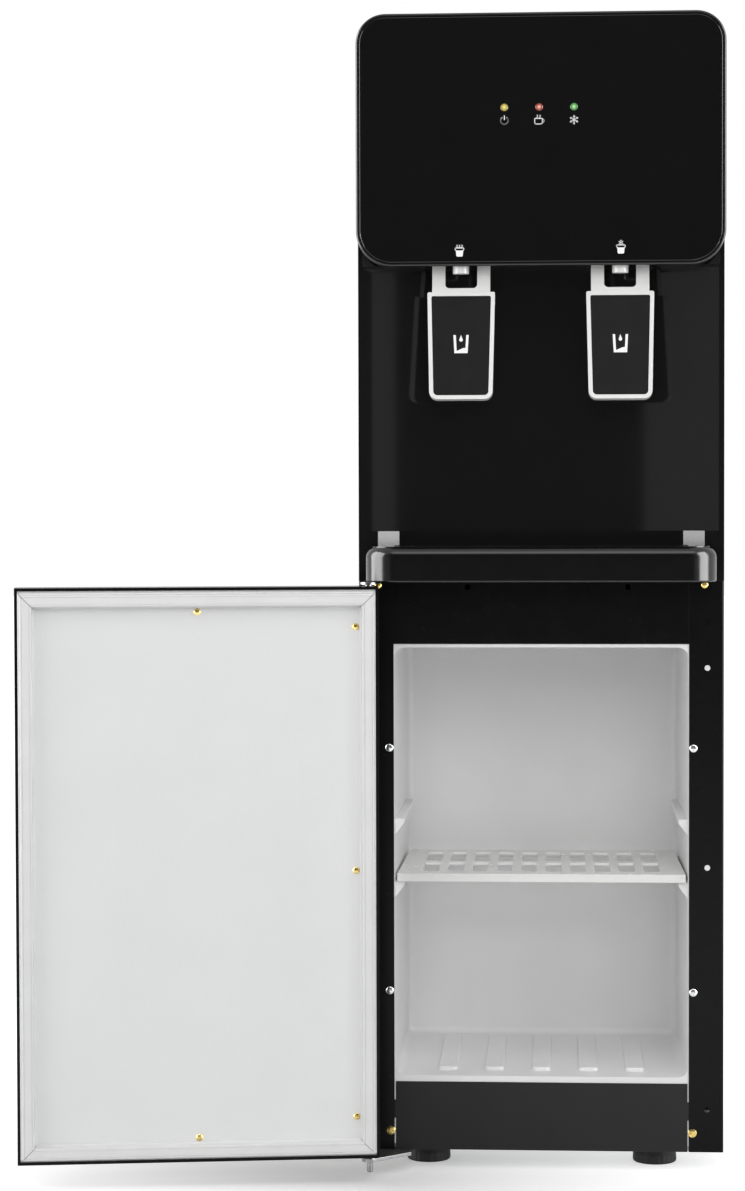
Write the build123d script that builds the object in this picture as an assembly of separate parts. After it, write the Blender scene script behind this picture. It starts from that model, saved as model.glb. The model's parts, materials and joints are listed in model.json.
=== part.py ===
from build123d import *
import os

# A tall floor-standing water cooler with two push taps in a head, a drip tray
# below them, and a chilled storage cabinet behind a side-hung door.
# Millimetres, +Z up, front towards -Y. The origin is on the floor, under the
# middle of the steel body, without the door.

# ---- Body and the heights of its front, from the floor up
BODY_W = 310.0
BODY_D = 320.0
SHEET = 1.0                # steel sheet
FOOT_H = 17.0
KICK_H = 58.5
OPENING_H = 375.2
CROSS_H = 53.7
LEDGE_H = 30.4
BAND_H = 12.0
ALCOVE_H = 222.8
HEAD_H = 211.4
COLUMN_W = 29.5            # front return of each side panel
BACK_RETURN = 12.0
COVER_H = 31.0             # moulded top cover
PAN_RIM = 15.0
TOUCH = 0.3                # running gap between pieces that move past each other

# ---- Feet
FOOT_SIDE = 57.0           # foot centre inside the body's side
FOOT_INSET = 44.0          # foot centre behind the body's front, and before its back
FOOT_R = 19.0
FOOT_TOP_R = 16.0
STUD_R = 4.0
STUD_UP = 12.0
NUT_R = 7.5
NUT_H = 6.0

# ---- Front panels and their screws
KICK_GAP = 1.1
TAB_LOW = 27.0             # tabs of the kick panel, from the body's underside
TAB_H = 15.6
CROSS_HOLE_R = 2.5
CROSS_HOLE_X = (-62.3, 73.8)
CROSS_HOLE_DROP = 5.1
BEND_R = 2.0               # outside of the sides' bends
COLUMN_HOLE_IN = 14.0      # spare holes and plugs inside the body's side
COLUMN_HOLE_R = 2.4
COLUMN_HOLE_UP = 36.4      # low hole above the body's underside
COLUMN_HOLE_DROP = 34.9    # high hole below the ledge
PLUG_UP = 243.3
PLUG_DROP = 74.0
PLUG_PROUD = 0.1
LINER_SCREW_IN = 3.7       # liner screws outside the column's inner edge
LINER_SCREW_UP = (136.7, 345.0)
LINER_SCREW_R = 3.3
LOW_SCREW_IN = 3.2
LOW_SCREW_UP = 16.0
LOW_SCREW_R = 4.0
LOW_SCREW_PROUD = 0.2
TOP_SCREW_IN = 16.5        # screws under the ledge inside the body's side
TOP_SCREW_DROP = 3.4
TOP_SCREW_R = 2.9
HEAD_THICK = 1.6           # all screw heads
SHANK_R = 1.7
SHANK_L = 3.0

# ---- Storage cabinet
CAVITY_LIP = 0.5           # liner shown inside each column
SILL_LIP = 5.1             # white liner shown above the kick panel
LINTEL_LIP = 2.9
CAVITY_D = 196.0
CAVITY_CORNER = 9.0
CAVITY_BACK_R = 6.0
DRAFT = 0.5                # degrees
LINER_WALL = 2.0
LINER_FLANGE = 13.0
FLANGE_DROP = 53.5         # liner flange behind the kick panel
FOAM_BACK = 22.0
FOAM_UNDER = 26.0
FOAM_OVER = 34.0
RIB_PITCH = 40.4
RIB_W = 17.0
RIB_H = 3.2
RIB_CORNER = 4.5
RIB_SINK = 0.2             # moulded-on shapes reach this far into the wall
RIB_START = 26.0
RIB_END = 178.0
RIB_COUNT = 5
RUNNER_PROUD = 8.0
RUNNER_H = 14.0            # at the wall, from where the underside slopes up
RUNNER_EDGE = 3.0
RUNNER_Z = (151.4, 205.4)  # undersides, above the cabinet's floor
RUNNER_START = 12.0
RUNNER_END = 180.0
EVAPORATOR_W = 190.0
EVAPORATOR_H = 250.0
EVAPORATOR_T = 1.2

# ---- Shelf
SHELF_GAP_NEAR = 1.8       # shelf to liner, at its front
SHELF_GAP_FAR = 4.5
SHELF_D = 175.0
SHELF_SETBACK = 8.0
SHELF_T = 1.8
SHELF_RIM = 7.0
SHELF_RIM_T = 2.4
SHELF_COLUMNS = 10
SHELF_PITCH = 21.2
SHELF_HOLE_W = 13.5
SHELF_ROWS = ((18.0, 80.0), (92.0, 155.0))
COLLAR_T = 2.0             # raised border round each hole
COLLAR_H = 0.7

# ---- Door
DOOR_LIFT = 4.6
DOOR_TOP_GAP = 3.0
DOOR_MARGIN = 4.0          # door edge inside the body's side
DOOR_FRONT = 40.0          # outer face in front of the body
DOOR_RIM = 9.0             # rim plane in front of the body
DOOR_WALL = 2.5
DOOR_EDGE_R = 4.0
DOOR_PANEL_T = 1.5
DOOR_PANEL_SINK = 1.5
GASKET_MARGIN_SIDE = 2.6
GASKET_MARGIN_END = 3.8
GASKET_W = 13.5
GASKET_GAP = 0.4
GASKET_BASE_T = 3.0
GASKET_BULB_IN = 1.6
PIVOT_IN = 10.3            # inside the body's side
PIVOT_Y = 33.0             # in front of the body
OPEN_ANGLE = 171.6
PIN_R = 3.0
BUSH_WALL = 2.0
BUSH_L = 16.0
BUSH_CLEARANCE = 0.05
DOOR_SCREW_R = 2.8
DOOR_SCREW_GAP = 0.2       # between a screw's head and the seal
DOOR_SCREW_UP = (35.4, 242.4)
DOOR_SCREW_DROP = 33.4

# ---- Hinge plates
PLATE_T = 3.0
TOP_PLATE_T = 2.0
PLATE_NOSE_R = 7.0
PLATE_REACH = 34.0         # lower plate's far edge, from the pivot towards the middle
TOP_PLATE_REACH = 8.5      # upper plate's far edge
PLATE_BACK = 23.0
PLATE_ROOT = 12.0          # width of the plate in front of the body
PLATE_CORNER = 2.0
PLATE_SCREW_X = (10.7, 23.7)   # from the pivot towards the middle
PLATE_SCREW_IN = 10.0      # behind the body's front
PIN_TIP_R = 2.6
PIN_TIP_Z = 4.5
COLLAR_R = 5.0

# ---- Drip tray ledge
LEDGE_MARGIN = 7.5         # ledge's end inside the body's side
LEDGE_OUT = 46.0
LEDGE_IN = 31.0
LEDGE_CORNER = 25.0
LEDGE_EDGE_R = 10.0
LEDGE_WALL = 5.0
LEDGE_FLOOR = 3.0
BAND_RECESS = 12.0
BAND_CHEEK = 9.0           # recess's end inside the ledge's end
BAND_SPLAY = 17.5          # width of the slanted face at each end of the recess
TRAY_GAP = 0.5
TRAY_CLEAR = 1.0           # tray in front of the wall above, so that it lifts out
TRAY_WALL = 2.0
TRAY_TOP_DROP = 2.8
GRILLE_T = 2.3
GRILLE_SLOTS = 23
GRILLE_PITCH = 11.0
GRILLE_SLOT_W = 5.0
GRILLE_BORDER = 7.0

# ---- Dispensing wall
CHEEK_W = 4.0
WALL_SAG = 27.0
WALL_T = 2.5
WALL_SETBACK = 0.3
WALL_UP = 80.0             # wall hidden behind the head
WALL_RETURN = 15.0

# ---- Head
HEAD_OUT = 27.0
HEAD_WALL = 2.5
HEAD_TOP_R = 25.0
HEAD_BOTTOM_R = 30.0
HEAD_EDGE_R = 1.8
FASCIA_T = 3.0
FASCIA_GAP = 0.5
FASCIA_EDGE_R = 1.0
SEAT_W = 6.0
SEAT_T = 2.0
TAP_SLOT_W = 56.0
TAP_SLOT_FRONT = 23.2
TAP_SLOT_BACK = 9.5
TAP_SLOT_RIM = 1.0         # floor left behind the slots
LED_R = 3.2
LED_CLEARANCE = 0.1
LED_X = -1.0
LED_PITCH = 29.1
LED_UP = 132.1             # above the head's lower edge
LED_PROUD = 0.8
BOARD_W = 110.0
BOARD_H = 28.0
BOARD_T = 1.6
POST_R = 3.0
POST_X = 45.0
POST_L = 4.0

# ---- Taps
TAP_X = 67.0
TAP_AXIS_UP = 30.4         # pivot above the head's lower edge
TAP_AXIS_IN = 2.0          # pivot behind the body's front
NOZZLE_OUT = 14.0          # nozzle in front of the body's front
NOZZLE_R = 6.8
NOZZLE_DOWN = 5.7          # below the head's lower edge
VALVE_R = 8.6
VALVE_H = 32.0
VALVE_UP = 8.0             # top of the valve above the pivot
BARREL_R = 7.4
BARREL_BACK = 48.0
BARREL_CLEARANCE = 0.2
SHOULDER_R = 12.0
TAP_NUT_R = 14.0
TAP_NUT_T = 6.0
TAP_PIN_R = 2.0
WATERWAY_R = 2.5
STEM_R = 3.0
STEM_TIP_R = 1.5
STEM_TIP_H = 3.0
STEM_IN = 14.0
STEM_PLAY = 5.0

# ---- Paddles
PADDLE_TILT = 9.0
PRESS_ANGLE = 9.0
ARM_IN = 13.5
ARM_OUT = 24.5
ARM_T = 7.0
ARM_END_R = 5.0
WINDOW_DOWN = 48.7
WINDOW_R = 3.5
PADDLE_TOP = 52.2
PADDLE_BOTTOM = 144.2
PADDLE_TOP_W = 57.2
PADDLE_BOTTOM_W = 53.1
PADDLE_T = 8.0
PADDLE_CORNER = 7.0
PADDLE_TOP_CORNER = 1.5
BEZEL_W = 3.4
INSERT_T = 4.0
INSERT_SINK = 0.4
INSERT_GAP = 0.1
BRIDGE_UP = 12.0
BRIDGE_T = 5.0
BRIDGE_HALF = 4.0

# ---- Tanks and water
DECK_UP = 76.0             # tank deck above the cabinet foam
COLD_X = 55.0
COLD_Y = 38.0
COLD_R = 62.0
COLD_H = 250.0
COLD_WALL = 1.0
COLD_SHELL = 42.0          # foam under and over the tank
COLD_BLOCK = 166.0
COIL_TUBE_R = 3.0
COIL_SPACE = 7.0
COIL_TURNS = 6
COIL_PITCH = 13.0
COIL_UP = 60.0
HOT_X = -85.0
HOT_Y = 36.0
HOT_R = 45.0
HOT_H = 160.0
HOT_SKIRT_H = 14.0
HOT_SKIRT_R = 30.0
BAND_UP = 30.0
HEATER_H = 42.0
HEATER_T = 3.0
THERMOSTAT_R = 8.0
THERMOSTAT_T = 9.0
THERMOSTAT_UP = (95.0, 125.0)
HOSE_R = 4.0

# ---- Back of the cooler
BACK_PANEL_Z = 205.0
CONDENSER_OUT = 9.0
CONDENSER_R = 2.4
CONDENSER_W = 236.0
CONDENSER_RUNS = 7
CONDENSER_PITCH = 52.0
CONDENSER_UP = 27.0        # lowest run above the back panel's lower edge
WIRE_R = 0.8
WIRE_PITCH = 10.0
WIRE_MARGIN = 8.0          # outermost wires inside the tube's bends
WIRE_GAP = 0.05
BRACKET_H = 9.0
COMPRESSOR_X = 15.0
COMPRESSOR_L = 150.0
COMPRESSOR_W = 90.0
COMPRESSOR_H = 126.0
COMPRESSOR_EDGE_R = 28.0
COMPRESSOR_GAP = 4.0
MOUNT_H = 12.0
MOUNT_R = 8.0
MOUNT_SPREAD = 72.0
COMPRESSOR_BASE_T = 3.0
LINE_R = 3.0
INLET_SIDE = 45.0          # inside the body's side
INLET_DROP = 70.0          # below the top cover's lower edge
INLET_R = 8.0
INLET_BORE_R = 3.2
INLET_BORE_L = 16.0
GLAND_SIDE = 27.0
GLAND_UP = 18.0            # above the back panel's lower edge
GLAND_R = 8.0
GLAND_BORE_R = 3.6
SPIGOT_UP = 26.0           # above the tank deck
SPIGOT_R = 8.0
SPIGOT_BORE_R = 5.0
CAP_R = 12.0
CAP_L = 10.0
SPIGOT_OUT = 16.0
SWITCH_SIDE = (75.0, 43.0)
SWITCH_DROP = 70.0
SWITCH_W = 15.0
SWITCH_H = 21.0
SWITCH_RIM = 3.0
ROCKER_R = 9.0
ROCKER_W = 11.0
ROCKER_ANGLE = 14.0
SWITCH_DEEP = 14.0

# ---- Planes and levels worked out from the sizes above
SIDE = BODY_W / 2
INNER = SIDE - SHEET
FRONT = -BODY_D / 2
BACK = BODY_D / 2
UNDER_Z = FOOT_H
SILL_Z = UNDER_Z + KICK_H
LINTEL_Z = SILL_Z + OPENING_H
LEDGE_Z = LINTEL_Z + CROSS_H
LEDGE_TOP = LEDGE_Z + LEDGE_H
WALL_Z = LEDGE_TOP + BAND_H
HEAD_Z = WALL_Z + ALCOVE_H
TOP_Z = HEAD_Z + HEAD_H
COVER_Z = TOP_Z - COVER_H
COLUMN_X = SIDE - COLUMN_W
FOOT_X = SIDE - FOOT_SIDE
COLUMN_HOLE_X = SIDE - COLUMN_HOLE_IN
COLUMN_HOLE_Z = (UNDER_Z + COLUMN_HOLE_UP, LEDGE_Z - COLUMN_HOLE_DROP)
PLUG_Z = (UNDER_Z + PLUG_UP, LEDGE_Z - PLUG_DROP)
LINER_SCREW_X = COLUMN_X + LINER_SCREW_IN
LINER_SCREW_Z = tuple(UNDER_Z + up for up in LINER_SCREW_UP)
LOW_SCREW_X = COLUMN_X + LOW_SCREW_IN
LOW_SCREW_Z = UNDER_Z + LOW_SCREW_UP
TOP_SCREW_X = SIDE - TOP_SCREW_IN
CAVITY_W = 2 * (COLUMN_X - CAVITY_LIP)
LEDGE_W = BODY_W - 2 * LEDGE_MARGIN
LINER_FRONT = FRONT + SHEET
CAVITY_Z = SILL_Z + SILL_LIP
CAVITY_TOP = LINTEL_Z - LINTEL_LIP
CAVITY_BACK = LINER_FRONT + CAVITY_D
FOAM_Y = CAVITY_BACK + LINER_WALL + FOAM_BACK
FOAM_Z = CAVITY_Z - LINER_WALL - FOAM_UNDER
FOAM_TOP = CAVITY_TOP + LINER_WALL + FOAM_OVER
DECK_Z = FOAM_TOP + DECK_UP
RUNNER_TOP = CAVITY_Z + RUNNER_Z[0] + RUNNER_H
DOOR_Z = UNDER_Z + DOOR_LIFT
DOOR_TOP = LEDGE_Z - DOOR_TOP_GAP
DOOR_SIDE = SIDE - DOOR_MARGIN
DOOR_FACE_Y = FRONT - DOOR_FRONT
DOOR_RIM_Y = FRONT - DOOR_RIM
DOOR_PANEL_Y = DOOR_RIM_Y - DOOR_PANEL_SINK
HINGE_X = PIVOT_IN - SIDE
HINGE_Y = FRONT - PIVOT_Y
PLATE_SCREWS = tuple((HINGE_X + x, PLATE_SCREW_IN) for x in PLATE_SCREW_X)
TAP_Z = HEAD_Z + TAP_AXIS_UP
TAP_Y = FRONT + TAP_AXIS_IN
NOZZLE_Y = FRONT - NOZZLE_OUT
WALL_Y = FRONT + WALL_SETBACK
FASCIA_BACK = FRONT - HEAD_OUT + FASCIA_T
LED_Z = HEAD_Z + LED_UP
BOARD_Y = FASCIA_BACK + POST_L
PANEL_Y = BACK - SHEET     # outer face of the back panel
CONDENSER_Z = BACK_PANEL_Z + CONDENSER_UP
INLET_X = INLET_SIDE - SIDE
INLET_Z = COVER_Z - INLET_DROP
GLAND_X = SIDE - GLAND_SIDE
GLAND_Z = BACK_PANEL_Z + GLAND_UP
SPIGOT_X = (HOT_X, COLD_X)
SPIGOT_Z = DECK_Z + SPIGOT_UP
SWITCH_X = tuple(SIDE - inset for inset in SWITCH_SIDE)
SWITCH_Z = COVER_Z - SWITCH_DROP


# ---- Plain shapes

def block(x_low, x_high, y_low, y_high, z_low, z_high):
    """A block between two corners."""
    corner = (Align.MIN, Align.MIN, Align.MIN)
    box = Box(x_high - x_low, y_high - y_low, z_high - z_low, align=corner)
    return Pos(x_low, y_low, z_low) * box


def upright(x, y, radius, z_low, z_high):
    """A round bar along Z."""
    foot = (Align.CENTER, Align.CENTER, Align.MIN)
    return Pos(x, y, z_low) * Cylinder(radius, z_high - z_low, align=foot)


def deep(x, z, radius, y_low, y_high):
    """A round bar along Y."""
    foot = (Align.CENTER, Align.CENTER, Align.MIN)
    return Pos(x, y_low, z) * Rot(-90, 0, 0) * Cylinder(radius, y_high - y_low, align=foot)


def across(y, z, radius, x_low, x_high):
    """A round bar along X."""
    foot = (Align.CENTER, Align.CENTER, Align.MIN)
    return Pos(x_low, y, z) * Rot(0, 90, 0) * Cylinder(radius, x_high - x_low, align=foot)


def front_slab(outline, y_low, y_high):
    """An outline drawn as seen from the front, with a thickness along Y."""
    return extrude(Plane.XZ.offset(-y_high) * outline, y_high - y_low)


def floor_slab(outline, z_low, z_high):
    """An outline drawn in plan, with a height."""
    return Pos(0, 0, z_low) * extrude(outline, z_high - z_low)


def panel(x_low, x_high, low, high, corner):
    """A rounded rectangle between two corners."""
    middle = Pos((x_low + x_high) / 2, (low + high) / 2)
    return middle * RectangleRounded(x_high - x_low, high - low, corner)


def both_sides(piece):
    """A piece and its mirror image in the middle plane."""
    return [piece, mirror(piece, about=Plane.YZ)]


def tube(points, radius, bend):
    """A round bar along straight runs joined by arcs."""
    path = FilletPolyline(*points, radius=bend)
    return sweep(path.location_at(0) * Circle(radius), path=path)


def front_screw(x, z, head_r, proud, shank_l=SHANK_L):
    """A pan-head screw driven into the front, its head proud of the face."""
    seat = FRONT - proud + HEAD_THICK
    head = deep(x, z, head_r, FRONT - proud, seat)
    head = fillet(head.edges().filter_by(GeomType.CIRCLE).sort_by(Axis.Y)[0], HEAD_THICK * 0.5)
    return head + deep(x, z, SHANK_R, seat, seat + shank_l)


# ---- Base, feet and panels

def levelling_feet():
    """Four flared rubber feet, each with a blind hole for its stud."""
    feet = []
    for x in (-FOOT_X, FOOT_X):
        for y in (FRONT + FOOT_INSET, BACK - FOOT_INSET):
            flare = upright(x, y, FOOT_R, 0, FOOT_H * 0.45)
            neck = Pos(x, y, FOOT_H * 0.45) * Cone(
                FOOT_R, FOOT_TOP_R, FOOT_H * 0.55, align=(Align.CENTER, Align.CENTER, Align.MIN))
            foot = flare + neck - upright(x, y, STUD_R, FOOT_H * 0.5, FOOT_H)
            feet.append(foot)
    return feet


def foot_studs():
    """The threaded stud of each foot, with its lock nut above the base."""
    studs = []
    nut_z = UNDER_Z + SHEET
    for x in (-FOOT_X, FOOT_X):
        for y in (FRONT + FOOT_INSET, BACK - FOOT_INSET):
            nut = floor_slab(Pos(x, y) * RegularPolygon(NUT_R, 6), nut_z, nut_z + NUT_H)
            studs.append(upright(x, y, STUD_R, FOOT_H * 0.5, UNDER_Z + STUD_UP) + nut)
    return studs


def base_pan():
    """The pressed steel base that carries the feet and the compressor."""
    pan_front = FRONT + SHEET + LINER_WALL
    top = UNDER_Z + PAN_RIM
    pan = block(-INNER, INNER, pan_front, PANEL_Y, UNDER_Z, UNDER_Z + SHEET)
    pan += block(-INNER, INNER, pan_front, pan_front + SHEET, UNDER_Z, top)
    pan += block(-INNER, INNER, PANEL_Y - SHEET, PANEL_Y, UNDER_Z, top)
    for rim in both_sides(block(INNER - SHEET, INNER, pan_front, PANEL_Y, UNDER_Z, top)):
        pan += rim
    for x in (-FOOT_X, FOOT_X):
        for y in (FRONT + FOOT_INSET, BACK - FOOT_INSET):
            pan -= upright(x, y, STUD_R, 0, top)
    for x, inset in PLATE_SCREWS:
        pan -= upright(x, FRONT + inset, SHANK_R, 0, top)
    inside = panel(-INNER, INNER, FRONT + SHEET, PANEL_Y, BEND_R - SHEET)
    return pan & floor_slab(inside, UNDER_Z, top)


def bent_sheet(x_low, y_low, y_high):
    """The body's bent sheet in plan, to the right of some X and between two depths."""
    ring = panel(-SIDE, SIDE, FRONT, BACK, BEND_R)
    ring -= panel(-INNER, INNER, FRONT + SHEET, PANEL_Y, BEND_R - SHEET)
    middle = Pos((x_low + SIDE) / 2, (y_low + y_high) / 2)
    return ring & middle * Rectangle(SIDE - x_low, y_high - y_low)


def side_panel_right():
    """A bent steel side with a wide front return and a narrow back return."""
    side = floor_slab(bent_sheet(INNER - BACK_RETURN, 0, BACK), UNDER_Z, COVER_Z)
    side += floor_slab(bent_sheet(COLUMN_X, FRONT, 0), UNDER_Z, LEDGE_Z)
    side += block(INNER, SIDE, FRONT, 0, LEDGE_Z, COVER_Z)
    for z in COLUMN_HOLE_Z + PLUG_Z:
        side -= deep(COLUMN_HOLE_X, z, COLUMN_HOLE_R, FRONT, FRONT + SHEET)
    for z in LINER_SCREW_Z:
        side -= deep(LINER_SCREW_X, z, SHANK_R, FRONT, FRONT + SHEET)
    side -= deep(LOW_SCREW_X, LOW_SCREW_Z, LOW_SCREW_R, FRONT, FRONT + SHEET)
    side -= deep(TOP_SCREW_X, LEDGE_Z - TOP_SCREW_DROP, SHANK_R, FRONT, FRONT + SHEET)
    return side


def side_panel_left():
    """The other side, bent to the other hand."""
    return mirror(side_panel_right(), about=Plane.YZ)


def kick_panel():
    """The sheet below the door, located by a tab at each side."""
    edge = COLUMN_X - KICK_GAP
    kick = block(-edge, edge, FRONT, FRONT + SHEET, UNDER_Z, SILL_Z)
    tab_z = UNDER_Z + TAB_LOW
    for tab in both_sides(block(edge, COLUMN_X, FRONT, FRONT + SHEET, tab_z, tab_z + TAB_H)):
        kick += tab
    kick -= deep(LOW_SCREW_X, LOW_SCREW_Z, LOW_SCREW_R, FRONT, FRONT + SHEET)
    return kick - deep(-LOW_SCREW_X, LOW_SCREW_Z, LOW_SCREW_R, FRONT, FRONT + SHEET)


def cross_panel():
    """The sheet between door and drip tray, bent back on top to carry the ledge."""
    cross = block(-COLUMN_X, COLUMN_X, FRONT, FRONT + SHEET, LINTEL_Z, LEDGE_Z)
    cross += block(-COLUMN_X, COLUMN_X, FRONT, FRONT + LEDGE_IN, LEDGE_Z - SHEET, LEDGE_Z)
    for x in CROSS_HOLE_X:
        cross -= deep(x, LEDGE_Z - CROSS_HOLE_DROP, CROSS_HOLE_R, FRONT, FRONT + SHEET)
    return cross


def panel_screws():
    """Yellow zinc screws at the kick panel, under the ledge and in the hinge plates."""
    screws = []
    for side in (-1, 1):
        screws.append(front_screw(side * LOW_SCREW_X, LOW_SCREW_Z, LOW_SCREW_R, LOW_SCREW_PROUD,
                                  SHEET + LINER_WALL + LOW_SCREW_PROUD - HEAD_THICK))
        screws.append(front_screw(side * TOP_SCREW_X, LEDGE_Z - TOP_SCREW_DROP, TOP_SCREW_R,
                                  HEAD_THICK))
    for x, inset in PLATE_SCREWS:
        under = UNDER_Z - PLATE_T
        head = upright(x, FRONT + inset, TOP_SCREW_R, under - HEAD_THICK, under)
        screws.append(head + upright(x, FRONT + inset, SHANK_R, under, UNDER_Z + SHEET))
    return screws


def liner_screws():
    """Bright screws that hold the liner's flange to the columns."""
    return [front_screw(side * LINER_SCREW_X, z, LINER_SCREW_R, HEAD_THICK, SHEET + LINER_WALL)
            for side in (-1, 1) for z in LINER_SCREW_Z]


def hole_plugs():
    """White plastic plugs in the spare holes of both columns."""
    return [deep(side * COLUMN_HOLE_X, z, COLUMN_HOLE_R, FRONT - PLUG_PROUD, FRONT + SHEET)
            for side in (-1, 1) for z in PLUG_Z]


# ---- Cabinet liner, foam and cooling plate

def liner_block(wall):
    """The storage space with its draft and rounded back, grown by a wall."""
    half = CAVITY_W / 2 + wall
    outline = panel(-half, half, -CAVITY_TOP - wall, -CAVITY_Z + wall, CAVITY_CORNER + wall)
    inwards = Plane(origin=(0, LINER_FRONT, 0), x_dir=(1, 0, 0), z_dir=(0, 1, 0))
    space = extrude(inwards * outline, CAVITY_D + wall, taper=DRAFT)
    back = space.faces().sort_by(Axis.Y)[-1]
    return fillet(back.edges(), CAVITY_BACK_R + wall)


def cabinet_liner():
    """The white moulded liner, with floor ribs and two pairs of shelf runners."""
    half = CAVITY_W / 2 + LINER_FLANGE
    flange = panel(-half, half, SILL_Z - FLANGE_DROP, CAVITY_TOP + LINER_FLANGE, CAVITY_CORNER)
    liner = front_slab(flange, LINER_FRONT, LINER_FRONT + LINER_WALL) + liner_block(LINER_WALL)
    liner -= liner_block(0)
    rib_top = CAVITY_Z + RIB_H
    for number in range(RIB_COUNT):
        x = (number - (RIB_COUNT - 1) / 2) * RIB_PITCH
        plan = panel(x - RIB_W / 2, x + RIB_W / 2, FRONT + RIB_START, FRONT + RIB_END, RIB_CORNER)
        rib = floor_slab(plan, CAVITY_Z - RIB_SINK, rib_top)
        liner += fillet(rib.faces().sort_by(Axis.Z)[-1].edges(), RIB_H * 0.6)
    wall_x = CAVITY_W / 2 + RIB_SINK
    near = CAVITY_W / 2 - RUNNER_PROUD
    for up in RUNNER_Z:
        low = CAVITY_Z + up
        high = low + RUNNER_H
        section = make_face(Polyline((wall_x, low), (wall_x, high), (near, high),
                                     (near, high - RUNNER_EDGE), close=True))
        runner = front_slab(section, FRONT + RUNNER_START, FRONT + RUNNER_END)
        runner = fillet(runner.faces().sort_by(Axis.X)[0].edges(), RUNNER_EDGE * 0.4)
        for piece in both_sides(runner):
            liner += piece
    for side in (-1, 1):
        for z in LINER_SCREW_Z:
            liner -= deep(side * LINER_SCREW_X, z, SHANK_R, FRONT, FRONT + SHANK_L)
        liner -= deep(side * LOW_SCREW_X, LOW_SCREW_Z, LOW_SCREW_R, FRONT,
                      FRONT + HEAD_THICK - LOW_SCREW_PROUD)
        liner -= deep(side * LOW_SCREW_X, LOW_SCREW_Z, SHANK_R, FRONT, FRONT + SHANK_L)
    return liner


def cabinet_evaporator():
    """The flat cooling plate pressed against the liner's back."""
    back = CAVITY_BACK + LINER_WALL
    middle = (CAVITY_Z + CAVITY_TOP) / 2
    plate = panel(-EVAPORATOR_W / 2, EVAPORATOR_W / 2, middle - EVAPORATOR_H / 2,
                  middle + EVAPORATOR_H / 2, CAVITY_CORNER)
    return front_slab(plate, back, back + EVAPORATOR_T)


def cabinet_insulation():
    """The foam between the liner and the steel body."""
    foam = block(-INNER, INNER, LINER_FRONT + LINER_WALL, FOAM_Y, FOAM_Z, FOAM_TOP)
    return foam - liner_block(LINER_WALL) - cabinet_evaporator()


def shelf():
    """The white grid shelf, which slides on the lower runners."""
    z = RUNNER_TOP + TOUCH
    front = FRONT + SHELF_SETBACK
    back = front + SHELF_D

    def outline(inset):
        near = CAVITY_W / 2 - SHELF_GAP_NEAR - inset
        far = CAVITY_W / 2 - SHELF_GAP_FAR - inset
        return make_face(Polyline((-near, front + inset), (near, front + inset),
                                  (far, back - inset), (-far, back - inset), close=True))

    rack = floor_slab(outline(0), z, z + SHELF_RIM)
    rack -= floor_slab(outline(SHELF_RIM_T), z, z + SHELF_RIM - SHELF_T)
    low = z + SHELF_RIM - SHELF_T
    for row in SHELF_ROWS:
        for number in range(SHELF_COLUMNS):
            x = (number - (SHELF_COLUMNS - 1) / 2) * SHELF_PITCH
            half = SHELF_HOLE_W / 2
            collar = block(x - half - COLLAR_T, x + half + COLLAR_T, front + row[0] - COLLAR_T,
                           front + row[1] + COLLAR_T, low - COLLAR_H, z + SHELF_RIM)
            hole = block(x - half, x + half, front + row[0], front + row[1], z, z + SHELF_RIM)
            rack = rack + collar - hole
    return rack


# ---- Door, built shut and then swung open

def swing(piece, angle=OPEN_ANGLE):
    """A door piece turned about the hinge pins from shut to open."""
    return Pos(HINGE_X, HINGE_Y, 0) * Rot(0, 0, -angle) * Pos(-HINGE_X, -HINGE_Y, 0) * piece


def bush_spaces():
    """The two sockets in the door's ends that take the hinge bushes."""
    radius = PIN_R + BUSH_CLEARANCE + BUSH_WALL
    return [upright(HINGE_X, HINGE_Y, radius, DOOR_Z, DOOR_Z + BUSH_L),
            upright(HINGE_X, HINGE_Y, radius, DOOR_TOP - BUSH_L, DOOR_TOP)]


def door_outer_shell():
    """The black outer pan of the door, open towards the cabinet."""
    pan = block(-DOOR_SIDE, DOOR_SIDE, DOOR_FACE_Y, DOOR_RIM_Y, DOOR_Z, DOOR_TOP)
    pan = fillet(pan.edges().filter_by(Axis.Z).sort_by(Axis.Y)[:2], DOOR_EDGE_R)
    pan -= block(-DOOR_SIDE + DOOR_WALL, DOOR_SIDE - DOOR_WALL, DOOR_FACE_Y + DOOR_WALL,
                 DOOR_RIM_Y, DOOR_Z + DOOR_WALL, DOOR_TOP - DOOR_WALL)
    for socket in bush_spaces():
        pan -= socket
    return pan


def door_foam():
    """The foam slab that fills the door."""
    foam = block(-DOOR_SIDE + DOOR_WALL, DOOR_SIDE - DOOR_WALL, DOOR_FACE_Y + DOOR_WALL,
                 DOOR_PANEL_Y - DOOR_PANEL_T, DOOR_Z + DOOR_WALL, DOOR_TOP - DOOR_WALL)
    for socket in bush_spaces():
        foam -= socket
    for x, z in door_screw_places():
        foam -= deep(x, z, SHANK_R, DOOR_FACE_Y, DOOR_PANEL_Y)
    return foam


def door_inner_panel():
    """The white inner panel, let into the outer pan."""
    inner = block(-DOOR_SIDE + DOOR_WALL, DOOR_SIDE - DOOR_WALL, DOOR_PANEL_Y - DOOR_PANEL_T,
                  DOOR_PANEL_Y, DOOR_Z + DOOR_WALL, DOOR_TOP - DOOR_WALL)
    for x, z in door_screw_places():
        inner -= deep(x, z, SHANK_R, DOOR_FACE_Y, DOOR_PANEL_Y)
    return inner


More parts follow.
